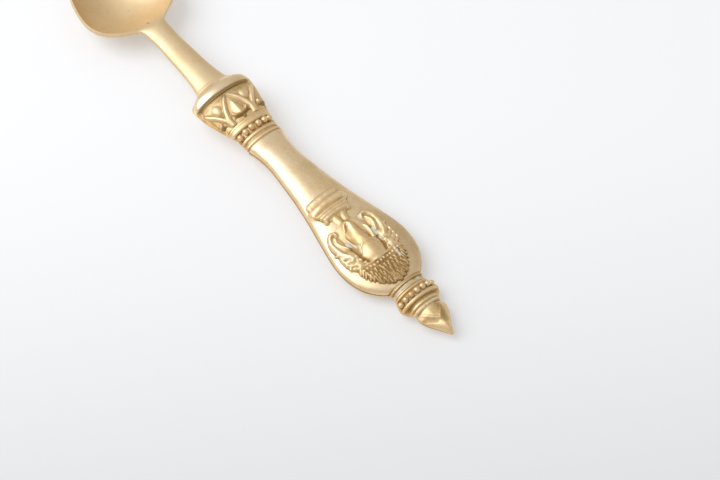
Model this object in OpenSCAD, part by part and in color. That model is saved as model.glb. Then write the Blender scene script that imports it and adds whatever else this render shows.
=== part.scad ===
/* A souvenir coffee spoon in brass, lying face up on a table.
   Every piece is drawn along the handle's own axis, with the collar's mouth at zero, +X towards
   the finial and +Z to the decorated side. laid() then tips it all onto the table. */

/* [Bowl] */
// Greatest width of the bowl
bowl_w = 23.6; // [20:0.2:30]
// Length of the bowl from its neck joint to its tip
bowl_len = 31; // [29:0.5:38]
// Height of the bowl's rim over the table
rim_height = 6.9; // [6:0.1:8]
// Thickness of the bowl's wall
bowl_wall = 1.0; // [0.8:0.1:1.4]

/* [Stem] */
// Length of the bare stem between the bowl's joint and the collar
stem_len = 21; // [18:0.5:30]
// Width of the stem at its waist
stem_w = 5.6; // [4.8:0.1:6.4]
// Thickness of the stem at its waist
stem_t = 2.4; // [2:0.1:3]
// Width of the flat tang inside the handle
tang_w = 3.4; // [3:0.1:4]
// Thickness of the tang
tang_t = 1.6; // [1.2:0.1:2]
// Length of the tang inside the handle and collar
tang_len = 34; // [24:1:44]

/* [Collar] */
// Width across the collar's lip
lip_w = 15.4; // [14.6:0.1:16.6]
// Diameter of a bead in the collar's row
collar_bead_d = 1.5; // [1.2:0.1:1.7]
// Number of beads in the collar's row
collar_bead_count = 6; // [5:1:7]

/* [Handle] */
// Width across the handle's lobe
lobe_w = 18.2; // [17:0.1:19.6]
// Height of the decorated half over the seam at the lobe
front_h = 2.4; // [2:0.1:3]
// Height of the plain half under the seam at the lobe
back_h = 1.8; // [1.4:0.1:2.2]
// Wall of the two handle shells
shell_wall = 0.6; // [0.5:0.05:0.9]
// Greatest height of the crest's relief over the shell
crest_h = 1.3; // [0.8:0.1:1.6]

/* [Finial] */
// Width across the beaded cup
cup_w = 9.7; // [9:0.1:10.5]
// Diameter of a bead in the cup's row
cup_bead_d = 1.35; // [1:0.05:1.5]
// Number of beads in the cup's row
cup_bead_count = 7; // [6:1:8]
// Width of the bud
bud_w = 7.2; // [6.6:0.1:7.8]
// Diameter of the pin through the finial
pin_d = 1.6; // [1.2:0.1:2]

/* [Hidden] */

// Stations along the axis where one piece ends and the next begins
lip_end = 3.2;
cap_end = 11.3;
shell_start = 17.8;
shell_end = 64.9;
neck_end = 66.9;
cup_end = 70.4;
spool_end = 72.7;
tip = 80.5;
lip_start = -0.8;
joint = -stem_len;
bead_station = 14.15;
cup_bead_station = 68.65;
cup_rim_station = 70;

// How the round sections are flattened: front and back height as a share of half the width
front_share = 0.47;
cap_share = 0.42;
back_share = 0.42;
round_front = 0.58;
round_back = 0.475;
// The plain back stands a little wider than the decorated front, which leaves a ledge
ledge = 0.05;

// The lie on the table: the bowl's underside and the back of the finial's cup both touch it
tilt = 2.6;
flare = cup_w / 2 + 0.25;
mouth_height = cup_rim_station * sin(tilt) + (flare + ledge) * round_back * cos(tilt);
bowl_tip = joint - bowl_len;
middle = ((bowl_tip + tip) * cos(tilt)) / 2;

sides = 36;
fit = 0.02;
pin_start = 58;
pin_end = 76;
brass = "goldenrod";
$fn = 48;

// ---------------------------------------------------------------- curves and lofts

// Index of the stretch of a station list that holds x
function stretch(t, x, i = 0) = i >= len(t) - 2 || x < t[i + 1][0] ? i : stretch(t, x, i + 1);
// Slope at station i, level at both ends of the list
function slope(t, i) = i == 0 || i == len(t) - 1 ? 0
    : (t[i + 1][1] - t[i - 1][1]) / (t[i + 1][0] - t[i - 1][0]);
// Smooth curve through a list of [station, value] pairs
function curve(t, x) = let (i = stretch(t, x), step = t[i + 1][0] - t[i][0],
        u = min(max((x - t[i][0]) / step, 0), 1))
    t[i][1] * (1 + 2 * u) * (1 - u) * (1 - u) + t[i + 1][1] * u * u * (3 - 2 * u)
    + step * (slope(t, i) * u * (1 - u) * (1 - u) - slope(t, i + 1) * u * u * (1 - u));
// Straight lines through the pairs, for profiles with crisp edges
function kinked(t, x) = lookup(x, t);

// One side of a rounded box outline: the cosine or sine c pushed outwards by the power n
function squared(c, n) = sign(c) * pow(abs(c), 2 / n);
// Ring of points round the axis at one station. The front arc has half width w. The back arc
// follows the plain sweep where that is wider, and meets the front on a sloping ledge at the seam.
function ring_at(x, w, plain, front, back, n = 2) = let (p = max(w, plain) + ledge) concat(
    [for (i = [0:sides / 2]) let (a = 360 * i / sides)
        [x, w * squared(cos(a), n), w * front * squared(sin(a), n)]],
    [for (i = [sides / 2:sides]) let (a = 360 * i / sides)
        [x, p * squared(cos(a), n), (p * back - fit) * squared(sin(a), n) - fit]]);
// Half ring on one face of the seam, from the right side to the left
function arc_at(x, w, height, n = 2.3) = [for (i = [0:sides / 2]) let (a = 360 * i / sides)
    [x, w * squared(cos(a), n), height * squared(sin(a), n)]];

function flatten(rows) = [for (row = rows) for (p = row) p];

// Solid through a list of closed rings
module loft(rings) {
    m = len(rings[0]);
    last = len(rings) - 1;
    polyhedron(points = flatten(rings), convexity = 6, faces = concat(
        [[for (i = [0:m - 1]) i]],
        [for (k = [0:last - 1]) for (i = [0:m - 1]) let (a = k * m + i, b = k * m + (i + 1) % m)
            each [[a, a + m, b], [b, a + m, b + m]]],
        [[for (i = [m - 1:-1:0]) last * m + i]]));
}

// Solid between two sheets of points of the same size, outer and inner, closed round its edge
module between(outer, inner) {
    m = len(outer[0]);
    rows = len(outer);
    n = rows * m;
    edge = concat([for (i = [0:m - 2]) i], [for (k = [0:rows - 2]) k * m + m - 1],
        [for (i = [m - 1:-1:1]) (rows - 1) * m + i], [for (k = [rows - 1:-1:1]) k * m]);
    polyhedron(points = concat(flatten(outer), flatten(inner)), convexity = 6, faces = concat(
        [for (k = [0:rows - 2]) for (i = [0:m - 2]) let (a = k * m + i)
            each [[a, a + m, a + 1], [a + 1, a + m, a + m + 1]]],
        [for (k = [0:rows - 2]) for (i = [0:m - 2]) let (a = n + k * m + i)
            each [[a, a + 1, a + m], [a + 1, a + m + 1, a + m]]],
        [for (j = [0:len(edge) - 1]) let (a = edge[j], b = edge[(j + 1) % len(edge)])
            each [[a, b, a + n], [b, b + n, a + n]]]));
}

module laid() translate([-middle, 0, mouth_height]) rotate([0, tilt, 0]) children();

// Square-cut way for the tang
module tang_way(x0, x1, room = fit)
    translate([x0, -tang_w / 2 - room, -tang_t / 2 - room])
        cube([x1 - x0, tang_w + 2 * room, tang_t + 2 * room]);

// Round way for the finial's pin
module pin_way(x0, x1, room = fit)
    translate([x0, 0, 0]) rotate([0, 90, 0]) cylinder(r = pin_d / 2 + room, h = x1 - x0);

// ---------------------------------------------------------------- bowl and stem

// Height of the table under the axis, at a station
function table(x) = (x * sin(tilt) - mouth_height) / cos(tilt);

// Half width of the bowl at a distance d from its joint: a blended shoulder, then an egg's end
widest = 12.2;
shoulder = [[0, stem_w / 2 + 0.1], [1.5, 3.1], [2.5, 3.6], [3.7, 5.6], [5.1, 8], [7.1, 10.2],
            [9.5, 11.4], [widest, bowl_w / 2]];
egg = 1.6;
function bowl_half(d) = d < widest ? curve(shoulder, d)
    : bowl_w / 2 * sqrt(1 - pow((d - widest) / (bowl_len - widest), egg));
// Heights over the table, by distance from the joint: underside, edge, and wall thickness
neck_height = mouth_height + stem_len * sin(tilt);
underside = [[0, neck_height - stem_t / 2], [3, 4.7], [6, 2.9], [9, 1.35], [12.5, 0.3],
             [16, 0], [19.5, 0.25], [23.5, 1.3], [27, 3.2], [bowl_len, rim_height - 0.9]];
edge_height = [[0, neck_height + 0.5], [5, rim_height + 0.25], [12, rim_height],
               [20, rim_height - 0.1], [27, rim_height], [bowl_len, rim_height + 0.3]];
wall = [[0, stem_t], [3, 2.3], [5.5, 1.7], [9, bowl_wall + 0.1], [14, bowl_wall],
        [bowl_len, bowl_wall - 0.1]];
edge_t = 0.9;
dish = 2.3;
// Share of the dish's depth at a place v across the bowl, -1 to 1
function dished(v) = pow(1 - pow(abs(v), dish), 0.8);
across = 14;
function bowl_row(d, lower) = let (half = bowl_half(d), low = curve(underside, d),
        top = curve(edge_height, d), t = curve(wall, d), from = lower ? top - edge_t : top,
        to = lower ? low : low + t, x = joint - d)
    [for (i = [-across:across]) let (v = sin(90 * i / across))
        [x, half * v, table(x) + from + (to - from) * dished(v)]];
heel_rows = [for (d = [0:1.1:widest - 0.5]) d];
egg_rows = [for (k = [0:12]) widest + (bowl_len - widest) * sin(90 * k / 12.4)];
bowl_rows = concat(heel_rows, egg_rows);

module bowl() color(brass) laid()
    between([for (d = bowl_rows) bowl_row(d, false)], [for (d = bowl_rows) bowl_row(d, true)]);

// Half width and half thickness of the stem along the axis
stem_half = [[joint, stem_w / 2 + 0.1], [joint + 3.5, stem_w / 2], [-12, 3], [-8, 3.2],
             [-4, 3.6], [-1.8, 4.05], [lip_start, 4.5]];
stem_rise = [[joint, stem_t / 2], [-12, 1.35], [-5, 1.6], [-1.8, 1.85], [lip_start, 2.1]];
function stem_row(x, side) = let (half = curve(stem_half, x), h = curve(stem_rise, x),
        rim = x < joint + 0.01 ? 0.5 : 0.45)
    [for (i = [-across:across]) let (v = sin(90 * i / across),
            from = side > 0 ? rim : rim - edge_t)
        [x, half * v, from + (side * h - from) * dished(v)]];
stem_rows = [for (k = [0:20]) joint + (lip_start - joint) * k / 20];

module stem() color(brass) laid() {
    between([for (k = [20:-1:0]) stem_row(stem_rows[k], 1)],
            [for (k = [20:-1:0]) stem_row(stem_rows[k], -1)]);
    tang_way(lip_start - 0.5, tang_len, 0);
}

// ---------------------------------------------------------------- collar

// Half widths along the collar
lip_profile = [[lip_start, 4.7], [0, 6.2], [0.6, 7.1], [1.3, lip_w / 2 - 0.1],
               [2.1, lip_w / 2], [2.8, lip_w / 2 - 0.15], [lip_end, lip_w / 2 - 0.5]];
cap_profile = [[lip_end, 6.9], [4, 7], [6, 6.8], [8.5, 6.2], [cap_end, 5.4]];
bead_seat = 3.8;
spool_profile = [[cap_end, 5], [11.6, 5.3], [12.7, 5.25], [13.1, 4.8], [13.4, bead_seat],
                 [14.9, bead_seat], [15.2, 4.5], [15.9, 4.6], [16.2, 4.2], [16.7, 4.2],
                 [17, 4.6], [shell_start, 4.6]];
// Half width of the plain back behind the collar: one smooth bell
bell = [[lip_start, 4.7], [0, 6.2], [0.6, 7.1], [1.3, lip_w / 2 - 0.1], [2.1, lip_w / 2],
        [lip_end, lip_w / 2 - 0.1], [6, 7.2], [8.5, 6.5], [cap_end, 5.7], [13.1, 5.05],
        [bead_station, 4.85], [shell_start, 4.7]];

module threaded(profile, share = front_share) difference() {
    loft([for (p = profile) ring_at(p[0], p[1], kinked(bell, p[0]), share, back_share)]);
    tang_way(profile[0][0] - 1, profile[len(profile) - 1][0] + 1);
}

module collar_lip() color("khaki") laid() threaded(lip_profile);
module collar_cap() color("darkgoldenrod") laid() threaded(cap_profile, cap_share);
module collar_spool() color(brass) laid() threaded(spool_profile);

// A lance leaf lying on the cap: a keeled blade from its foot at cap_end to its point
leaf_len = 6.6;
leaf_spread = 60;
leaf_half = 17;
function on_cap(x, a, lift) = let (w = kinked(cap_profile, x), out = 1 + lift / w)
    [x, w * cos(a) * out, w * cap_share * sin(a) + lift * sin(a)];
module leaf(a) {
    rows = [for (k = [0:8]) cap_end - 0.1 - leaf_len * k / 8];
    spread = [for (k = [0:8]) leaf_half * pow(cos(90 * k / 8.6), 0.8)];
    between([for (k = [0:8]) [for (j = [-3:3])
                on_cap(rows[k], a + spread[k] * j / 3, fit + 0.25 + 0.55 * (1 - abs(j) / 3))]],
            [for (k = [0:8]) [for (j = [-3:3]) on_cap(rows[k], a + spread[k] * j / 3, fit)]]);
}
module collar_leaves() color("gold") laid()
    for (a = [90 - leaf_spread, 90, 90 + leaf_spread]) leaf(a);

// Place of a ball that rests on a flattened ring of half width w and height h, at angle a
function seated(w, h, lift, a) = let (out = [h * cos(a), w * sin(a)])
    [w * cos(a), h * sin(a)] + lift * out / norm(out);
// Running length of the row's centre line for each angle from 0 to 180, in steps
row_step = 3;
function row_lengths(w, h, lift, a = row_step, so_far = [[0, 0]]) = a > 180 ? so_far
    : row_lengths(w, h, lift, a + row_step, concat(so_far, [[so_far[len(so_far) - 1][0]
        + norm(seated(w, h, lift, a) - seated(w, h, lift, a - row_step)), a]]));
// A row of balls over the front of a ring, evenly spaced along its flattened outline
module bead_row(x, w, h, d, count) {
    lift = d / 2 + fit;
    lengths = row_lengths(w, h, lift);
    total = lengths[len(lengths) - 1][0];
    for (k = [0:count - 1])
        let (p = seated(w, h, lift, lookup(total * (k + 0.6) / (count + 0.2), lengths)))
            translate([x, p[0], p[1]]) sphere(d = d);
}

module collar_beads() color("gold") laid()
    bead_row(bead_station, bead_seat, bead_seat * front_share, collar_bead_d,
             collar_bead_count);

// ---------------------------------------------------------------- handle

shell_half = [[shell_start, 4.7], [19.5, 4.35], [21.5, 4.05], [24.5, 3.95], [29, 4.4],
              [34.5, 5.15], [40.5, 6.3], [46, lobe_w / 2 - 1.5], [51.5, lobe_w / 2 - 0.3],
              [55, lobe_w / 2], [58.5, lobe_w / 2 - 0.4], [61.2, lobe_w / 2 - 1.4],
              [63.2, lobe_w / 2 - 2.8], [64.3, lobe_w / 2 - 3.9], [shell_end, lobe_w / 2 - 4.6]];
front_rise = [[shell_start, 2.4], [21, 2.1], [27, 2.1], [40, front_h], [56, front_h],
              [62, front_h - 0.2], [shell_end, front_h - 0.4]];
back_rise = [[shell_start, 2.0], [21, 1.8], [40, back_h], [60, back_h], [shell_end, back_h - 0.1]];
shell_rows = concat([for (x = [shell_start:1.75:58]) x],
                    [for (k = [0:8]) 58.8 + (shell_end - 58.8) * k / 8]);

function half_shell(x, side, inset) = arc_at(x, curve(shell_half, x) - inset,
    side * (curve(side > 0 ? front_rise : back_rise, x) - inset));

module half_handle(side) {
    out = [for (x = shell_rows) half_shell(x, side, 0)];
    in = [for (x = shell_rows) half_shell(x, side, shell_wall)];
    if (side > 0) between(in, out);
    else between(out, in);
}

module handle_front() color(brass) laid() half_handle(1);
module handle_back() color("peru") laid() half_handle(-1);

// Cement core that fills the two shells and grips the tang and the pin
module handle_filler() color("gray") laid() difference() {
    loft([for (x = shell_rows) concat(half_shell(x, 1, shell_wall + fit),
        [for (i = [sides / 2 - 1:-1:1]) half_shell(x, -1, shell_wall + fit)[i]])]);
    tang_way(shell_start - 1, tang_len + 0.5);
    pin_way(pin_start, shell_end + 1);
}

// ---------------------------------------------------------------- crest

// Half width of the crest's outline along the lobe
crest_half = [[38, 4.4], [40, 4.5], [42, 3.8], [43.5, 4.8], [46, 6.3], [50, 7.8], [53, 7.3],
              [56.5, 6.6], [59.5, 5.3], [62, 3], [64, 0.8]];
// Strokes of the relief: start, end, half breadth at each, and height as a share of crest_h.
// A pedestal at the bowl's side, three trunked heads in a row, and a pointed crown.
strokes = [
    [[38.6, -3.7], [38.6, 3.7], 0.7, 0.7, 0.75], [[40.6, -2.9], [40.6, 2.9], 0.6, 0.6, 0.6],
    [[42.2, -2.3], [42.2, 2.3], 0.7, 0.7, 0.7], [[43, -1.2], [45.4, -1.2], 0.8, 0.7, 0.65],
    [[43, 1.2], [45.4, 1.2], 0.8, 0.7, 0.65], [[53.2, 0], [46.6, 0], 1.9, 0.7, 1],
    [[53.6, -1.3], [54.6, -1.2], 1.5, 1.2, 0.95], [[53.6, 1.3], [54.6, 1.2], 1.5, 1.2, 0.95],
    [[52.5, -4.6], [46, -4.4], 1.2, 0.6, 0.8], [[46, -4.4], [45.6, -5.4], 0.6, 0.5, 0.7],
    [[52.5, 4.6], [46, 4.4], 1.2, 0.6, 0.8], [[46, 4.4], [45.6, 5.4], 0.6, 0.5, 0.7],
    [[52.6, -5.8], [49, -7], 1, 0.4, 0.6], [[52.6, 5.8], [49, 7], 1, 0.4, 0.6],
    [[56.4, -5.4], [56.4, 5.4], 0.8, 0.8, 0.85], [[58.2, -4.6], [58.2, 4.6], 0.7, 0.7, 0.7],
    [[58.8, -4], [60.8, -4.2], 0.7, 0.2, 0.6], [[58.8, 4], [60.8, 4.2], 0.7, 0.2, 0.6],
    [[58.8, -2], [62, -2.1], 0.9, 0.2, 0.75], [[58.8, 2], [62, 2.1], 0.9, 0.2, 0.75],
    [[58.8, 0], [63.8, 0], 1.1, 0.2, 0.95]];
// Height of one stroke at a place p: a round-backed ridge, breadth tapering along its length
function stroke_height(k, p) = let (d = k[1] - k[0],
        u = min(max((p - k[0]) * d / (d * d), 0), 1), r = k[2] + (k[3] - k[2]) * u,
        gap = norm(p - k[0] - d * u) / r)
    gap >= 1 ? 0 : k[4] * sqrt(1 - gap * gap);
function relief(x, y) = crest_h * max([for (k = strokes) stroke_height(k, [x, y])]);
// Height of the front shell over the seam at a place
function shell_top(x, y) = let (c = min(abs(y) / curve(shell_half, x), 1), n = 2.3)
    curve(front_rise, x) * pow(1 - pow(c, n), 1 / n);
crest_rows = [for (k = [0:46]) 38 + 26 * k / 46];
crest_cols = 13;
function crest_sheet(lift) = [for (x = crest_rows) [for (j = [-crest_cols:crest_cols])
    let (y = curve(crest_half, x) * j / crest_cols)
    [x, y, shell_top(x, y) + fit + lift * (0.2 + relief(x, y))]]];

module crest() color("gold") laid() between(crest_sheet(0), crest_sheet(1));

// ---------------------------------------------------------------- finial

neck_profile = [[shell_end, 4.2], [65.5, 4.4], [65.8, 3.9], [66.4, 3.9], [neck_end, 4]];
cup_seat = cup_w / 2 - 1;
cup_profile = [[neck_end, 4.1], [67.4, 4.3], [67.8, cup_seat], [69.4, cup_seat],
               [69.5, cup_w / 2 - 0.1], [cup_rim_station, cup_w / 2], [cup_end, cup_w / 2 - 0.5]];
ring_profile = [[cup_end, 3.3], [70.9, 3.2], [71.1, 3.5], [71.6, 3.5], [71.8, 3.1],
                [spool_end, 3.1]];
bud_profile = [[spool_end, 3.2], [73.3, bud_w / 2 - 0.1], [74.2, bud_w / 2], [75.6, 3.1],
               [77, 2.3], [78.6, 1.3], [79.8, 0.6], [tip, 0.3]];

// Half width of the plain back behind the finial: a flare, then a funnel down to the bud
funnel = [[shell_end, 4.5], [65.8, 4.15], [neck_end, 4.3], [68.3, 4.8], [69.4, flare],
          [cup_rim_station, flare], [71, 4.55], [72, 3.6], [spool_end, 3.3], [tip, 0]];

module pinned(profile, n = 2) difference() {
    loft([for (p = profile) ring_at(p[0], p[1], kinked(funnel, p[0]), round_front, round_back, n)]);
    pin_way(profile[0][0] - 1, min(profile[len(profile) - 1][0] + 1, pin_end + 0.2));
}

module finial_neck() color(brass) laid() pinned(neck_profile);
module finial_cup() color("darkgoldenrod") laid() pinned(cup_profile);
module finial_beads() color("gold") laid()
    bead_row(cup_bead_station, cup_seat, cup_seat * round_front, cup_bead_d, cup_bead_count);
module finial_spool() color(brass) laid() pinned(ring_profile);
module finial_bud() color("khaki") laid() pinned(bud_profile, 1.7);
module finial_pin() color("sienna") laid() pin_way(pin_start + 0.2, pin_end, 0);

bowl();
stem();
collar_lip();
collar_cap();
collar_leaves();
collar_spool();
collar_beads();
handle_front();
handle_back();
handle_filler();
crest();
finial_neck();
finial_cup();
finial_beads();
finial_spool();
finial_bud();
finial_pin();
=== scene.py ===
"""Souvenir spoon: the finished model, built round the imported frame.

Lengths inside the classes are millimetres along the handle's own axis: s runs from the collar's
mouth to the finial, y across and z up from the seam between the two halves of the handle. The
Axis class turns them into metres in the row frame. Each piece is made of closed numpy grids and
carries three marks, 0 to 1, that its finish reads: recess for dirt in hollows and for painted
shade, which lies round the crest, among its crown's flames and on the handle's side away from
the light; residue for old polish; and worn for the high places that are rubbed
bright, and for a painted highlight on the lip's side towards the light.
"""

import logging
from dataclasses import dataclass
from enum import Enum

import bpy
import numpy as np
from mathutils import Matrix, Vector


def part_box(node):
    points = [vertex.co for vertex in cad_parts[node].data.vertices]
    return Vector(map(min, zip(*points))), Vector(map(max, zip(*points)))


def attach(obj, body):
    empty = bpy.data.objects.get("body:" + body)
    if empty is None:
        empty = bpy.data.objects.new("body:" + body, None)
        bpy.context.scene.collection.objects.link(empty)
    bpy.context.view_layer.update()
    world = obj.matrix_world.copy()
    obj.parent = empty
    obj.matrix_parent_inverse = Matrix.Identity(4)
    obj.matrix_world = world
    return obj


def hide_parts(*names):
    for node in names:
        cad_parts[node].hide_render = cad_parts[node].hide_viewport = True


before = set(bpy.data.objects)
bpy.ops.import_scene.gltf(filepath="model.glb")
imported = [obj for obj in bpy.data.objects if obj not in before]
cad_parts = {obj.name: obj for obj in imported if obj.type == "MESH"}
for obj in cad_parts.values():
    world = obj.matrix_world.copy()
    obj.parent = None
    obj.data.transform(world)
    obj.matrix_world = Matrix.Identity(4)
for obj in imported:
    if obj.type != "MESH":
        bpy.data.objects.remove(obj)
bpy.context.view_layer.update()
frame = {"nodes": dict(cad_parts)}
LOG = logging.getLogger("spoon")
MM = 0.001
Array = np.ndarray
Stations = tuple[tuple[float, float], ...]
Strokes = tuple[tuple[Stations, float, float], ...]


# ------------------------------------------------------------------ curves and fields

def smooth(stations: Stations, x: Array) -> Array:
    """Smooth curve through stations.

    Hermite cubics whose slope at each station is the chord between its neighbours, and level at
    both ends.

    Args:
        stations: pairs of place and value, in rising order of place.
        x: places to read.

    Returns:
        The value at each place.
    """
    xs, ys = np.asarray(stations, float).T
    slope = np.zeros(len(xs))
    slope[1:-1] = (ys[2:] - ys[:-2]) / (xs[2:] - xs[:-2])
    i = np.clip(np.searchsorted(xs, x, side="right") - 1, 0, len(xs) - 2)
    step = xs[i + 1] - xs[i]
    u = np.clip((x - xs[i]) / step, 0, 1)
    return (ys[i] * (1 + 2 * u) * (1 - u) ** 2 + ys[i + 1] * u * u * (3 - 2 * u)
            + step * (slope[i] * u * (1 - u) ** 2 - slope[i + 1] * u * u * (1 - u)))


def by_place(pairs: Stations, x: Array) -> Array:
    """Straight runs through pairs of place and value."""
    return np.interp(x, *np.asarray(pairs, float).T)


def eased(x: Array, low: float, high: float) -> Array:
    """Smooth step from 0 at low to 1 at high: 3u^2 - 2u^3."""
    u = np.clip((x - low) / (high - low), 0, 1)
    return u * u * (3 - 2 * u)


def blurred(grid: Array, rows: float, cols: float) -> Array:
    """Gaussian blur of a grid, by its transfer function exp(-2 pi^2 sigma^2 f^2).

    Args:
        grid: the grid.
        rows: sigma along the first axis, in cells.
        cols: sigma along the second axis, in cells.

    Returns:
        The blurred grid, of the same shape.
    """
    pad_r, pad_c = int(3 * rows) + 2, int(3 * cols) + 2
    wide = np.pad(grid, ((pad_r, pad_r), (pad_c, pad_c)), mode="edge")
    fr = np.fft.fftfreq(wide.shape[0])[:, None]
    fc = np.fft.rfftfreq(wide.shape[1])[None]
    gain = np.exp(-2 * np.pi ** 2 * ((rows * fr) ** 2 + (cols * fc) ** 2))
    out = np.fft.irfft2(np.fft.rfft2(wide) * gain, s=wide.shape)
    return out[pad_r:-pad_r, pad_c:-pad_c]


def powered(wave: Array, n: float) -> Array:
    """A superellipse's cosine or sine, from the circle's: sign(c) |c|^(2/n)."""
    return np.sign(wave) * np.abs(wave) ** (2 / n)


def running(line: Array) -> Array:
    """Length along a line of points, from its first point to each."""
    return np.concatenate([[0], np.cumsum(np.hypot(*np.diff(line, axis=0).T))])


# ------------------------------------------------------------------ frame and meshes

@dataclass(frozen=True)
class Axis:
    """The handle's axis in the row frame, read from the pin that lies along it."""

    mouth_x: float
    mouth_z: float
    tilt: float

    @classmethod
    def from_pin(cls, node: str, middle: float) -> "Axis":
        """Reads the axis from the pin's box.

        A tilted cylinder of length L and diameter d has a box L cos t + d sin t long and
        L sin t + d cos t high, and d is the box's width, so t follows in a few rounds.

        Args:
            node: the pin's node.
            middle: the pin's middle along the axis, in millimetres from the collar's mouth.

        Returns:
            The axis.
        """
        low, high = (np.array(corner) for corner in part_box(node))
        long, wide, tall = high - low
        tilt = 0.0
        for _ in range(20):
            tilt = np.arctan2(tall - wide * np.cos(tilt), long - wide * np.sin(tilt))
        mid = (low + high) / 2
        return cls(float(mid[0] - middle * MM * np.cos(tilt)),
                   float(mid[2] + middle * MM * np.sin(tilt)), float(tilt))

    def place(self, s: Array, y: Array, z: Array) -> Array:
        """Turns points of the axis's own frame into the row frame's.

        Args:
            s: stations, in millimetres.
            y: places across.
            z: heights over the seam.

        Returns:
            Points in metres.
        """
        s, y, z = np.broadcast_arrays(s, y, z)
        c, d = np.cos(self.tilt), np.sin(self.tilt)
        return np.stack([self.mouth_x + MM * (s * c + z * d), MM * y,
                         self.mouth_z + MM * (z * c - s * d)], -1)

    def table(self, s: Array) -> Array:
        """Height of the table in the axis's frame, in millimetres, at a station."""
        return (s * np.sin(self.tilt) - self.mouth_z / MM) / np.cos(self.tilt)


class Solid:
    """Gathers closed surfaces, with their marks, into one mesh."""

    MARKS = ("recess", "residue", "worn")

    def __init__(self) -> None:
        """Starts with nothing."""
        self.points: list[Array] = []
        self.quads: list[Array] = []
        self.tris: list[Array] = []
        self.marks: dict[str, list[Array]] = {name: [] for name in self.MARKS}
        self.count = 0

    def _add(self, points: Array, quads: Array, tris: Array, marks: dict[str, Array]) -> None:
        """Adds one closed surface, turned outwards.

        Args:
            points: row-frame points.
            quads: faces of four corners.
            tris: faces of three corners.
            marks: values at the first points; the rest get 0.
        """
        a, b, c, d = (points[quads[:, i]] for i in range(4))
        volume = (a * (np.cross(b, c) + np.cross(c, d))).sum()
        if len(tris):
            a, b, c = (points[tris[:, i]] for i in range(3))
            volume += (a * np.cross(b, c)).sum()
        if volume < 0:
            quads, tris = quads[:, ::-1], tris[:, ::-1]
        self.points.append(points)
        self.quads.append(quads + self.count)
        self.tris.append(tris + self.count)
        for name in self.MARKS:
            given = marks.get(name)
            values = np.zeros(len(points))
            if given is not None:
                values[:given.size] = given.ravel()
            self.marks[name].append(values)
        self.count += len(points)

    @staticmethod
    def _sheet(rows: int, cols: int) -> tuple[Array, Array]:
        """Faces of a grid of points, and the points of its edge in order.

        Args:
            rows: rows of the grid.
            cols: columns of the grid.

        Returns:
            Faces of four corners, and the edge's points, running against the faces.
        """
        k, i = np.meshgrid(np.arange(rows - 1), np.arange(cols - 1), indexing="ij")
        a = (k * cols + i).ravel()
        quads = np.stack([a, a + cols, a + cols + 1, a + 1], -1)
        edge = np.concatenate([np.arange(cols - 1), np.arange(rows - 1) * cols + cols - 1,
                               (rows - 1) * cols + np.arange(cols - 1, 0, -1),
                               np.arange(rows - 1, 0, -1) * cols])
        return quads, edge

    def tube(self, grid: Array, **marks: Array) -> "Solid":
        """Adds rings of points joined along their length, closed at each end by a fan.

        Args:
            grid: points by ring and by place round it.
            marks: values by ring and place.

        Returns:
            The solid itself.
        """
        rows, m = grid.shape[:2]
        k, i = np.meshgrid(np.arange(rows - 1), np.arange(m), indexing="ij")
        a, b = k * m + i, k * m + (i + 1) % m
        quads = np.stack([a, b, b + m, a + m], -1).reshape(-1, 4)
        ends = np.stack([grid[0].mean(0), grid[-1].mean(0)])
        j = np.arange(m)
        n = rows * m
        first = np.stack([np.full(m, n), (j + 1) % m, j], -1)
        last = np.stack([np.full(m, n + 1), n - m + j, n - m + (j + 1) % m], -1)
        points = np.concatenate([grid.reshape(-1, 3), ends])
        self._add(points, quads, np.concatenate([first, last]), marks)
        return self

    def patch(self, top: Array, heart: Array, **marks: Array) -> "Solid":
        """Adds a sheet closed underneath by a fan from its edge to one point.

        Args:
            top: the sheet's points, by row and column.
            heart: the point that the fan runs to.
            marks: values by row and column.

        Returns:
            The solid itself.
        """
        quads, edge = self._sheet(*top.shape[:2])
        fan = np.stack([edge, np.roll(edge, -1), np.full(len(edge), top[..., 0].size)], -1)
        points = np.concatenate([top.reshape(-1, 3), heart[None]])
        self._add(points, quads, fan, marks)
        return self

    def shell(self, outer: Array, inner: Array, **marks: Array) -> "Solid":
        """Adds the wall between two sheets of the same size, closed round its edge.

        Args:
            outer: points of one sheet, by row and column.
            inner: points of the other.
            marks: values on the outer sheet.

        Returns:
            The solid itself.
        """
        over, edge = self._sheet(*outer.shape[:2])
        n = outer[..., 0].size
        under = over[:, ::-1] + n
        after = np.roll(edge, -1)
        rim = np.stack([edge, after, after + n, edge + n], -1)
        points = np.concatenate([outer.reshape(-1, 3), inner.reshape(-1, 3)])
        self._add(points, np.concatenate([over, under, rim]), np.zeros((0, 3), int), marks)
        return self

    def mesh(self, name: str, crisp: float = 40.0) -> bpy.types.Object:
        """Makes the mesh object, smooth but for edges sharper than an angle.

        Args:
            name: the object's name.
            crisp: the angle, in degrees.

        Returns:
            The object, linked to the scene.
        """
        points = np.concatenate(self.points)
        quads, tris = np.concatenate(self.quads), np.concatenate(self.tris)
        corners = np.concatenate([quads.ravel(), tris.ravel()])
        sizes = np.concatenate([np.full(len(quads), 4), np.full(len(tris), 3)])
        mesh = bpy.data.meshes.new(name)
        mesh.vertices.add(len(points))
        mesh.vertices.foreach_set("co", points.ravel())
        mesh.loops.add(len(corners))
        mesh.loops.foreach_set("vertex_index", corners.astype(np.int32))
        mesh.polygons.add(len(sizes))
        mesh.polygons.foreach_set("loop_start", np.concatenate(
            [[0], np.cumsum(sizes)[:-1]]).astype(np.int32))
        mesh.polygons.foreach_set("use_smooth", np.ones(len(sizes), bool))
        for mark in self.MARKS:
            layer = mesh.attributes.new(mark, "FLOAT", "POINT")
            layer.data.foreach_set("value", np.concatenate(self.marks[mark]).astype(np.float32))
        mesh.update(calc_edges=True)
        mesh.validate()
        mesh.set_sharp_from_angle(angle=np.radians(crisp))
        piece = bpy.data.objects.new(name, mesh)
        bpy.context.scene.collection.objects.link(piece)
        return piece


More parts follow.
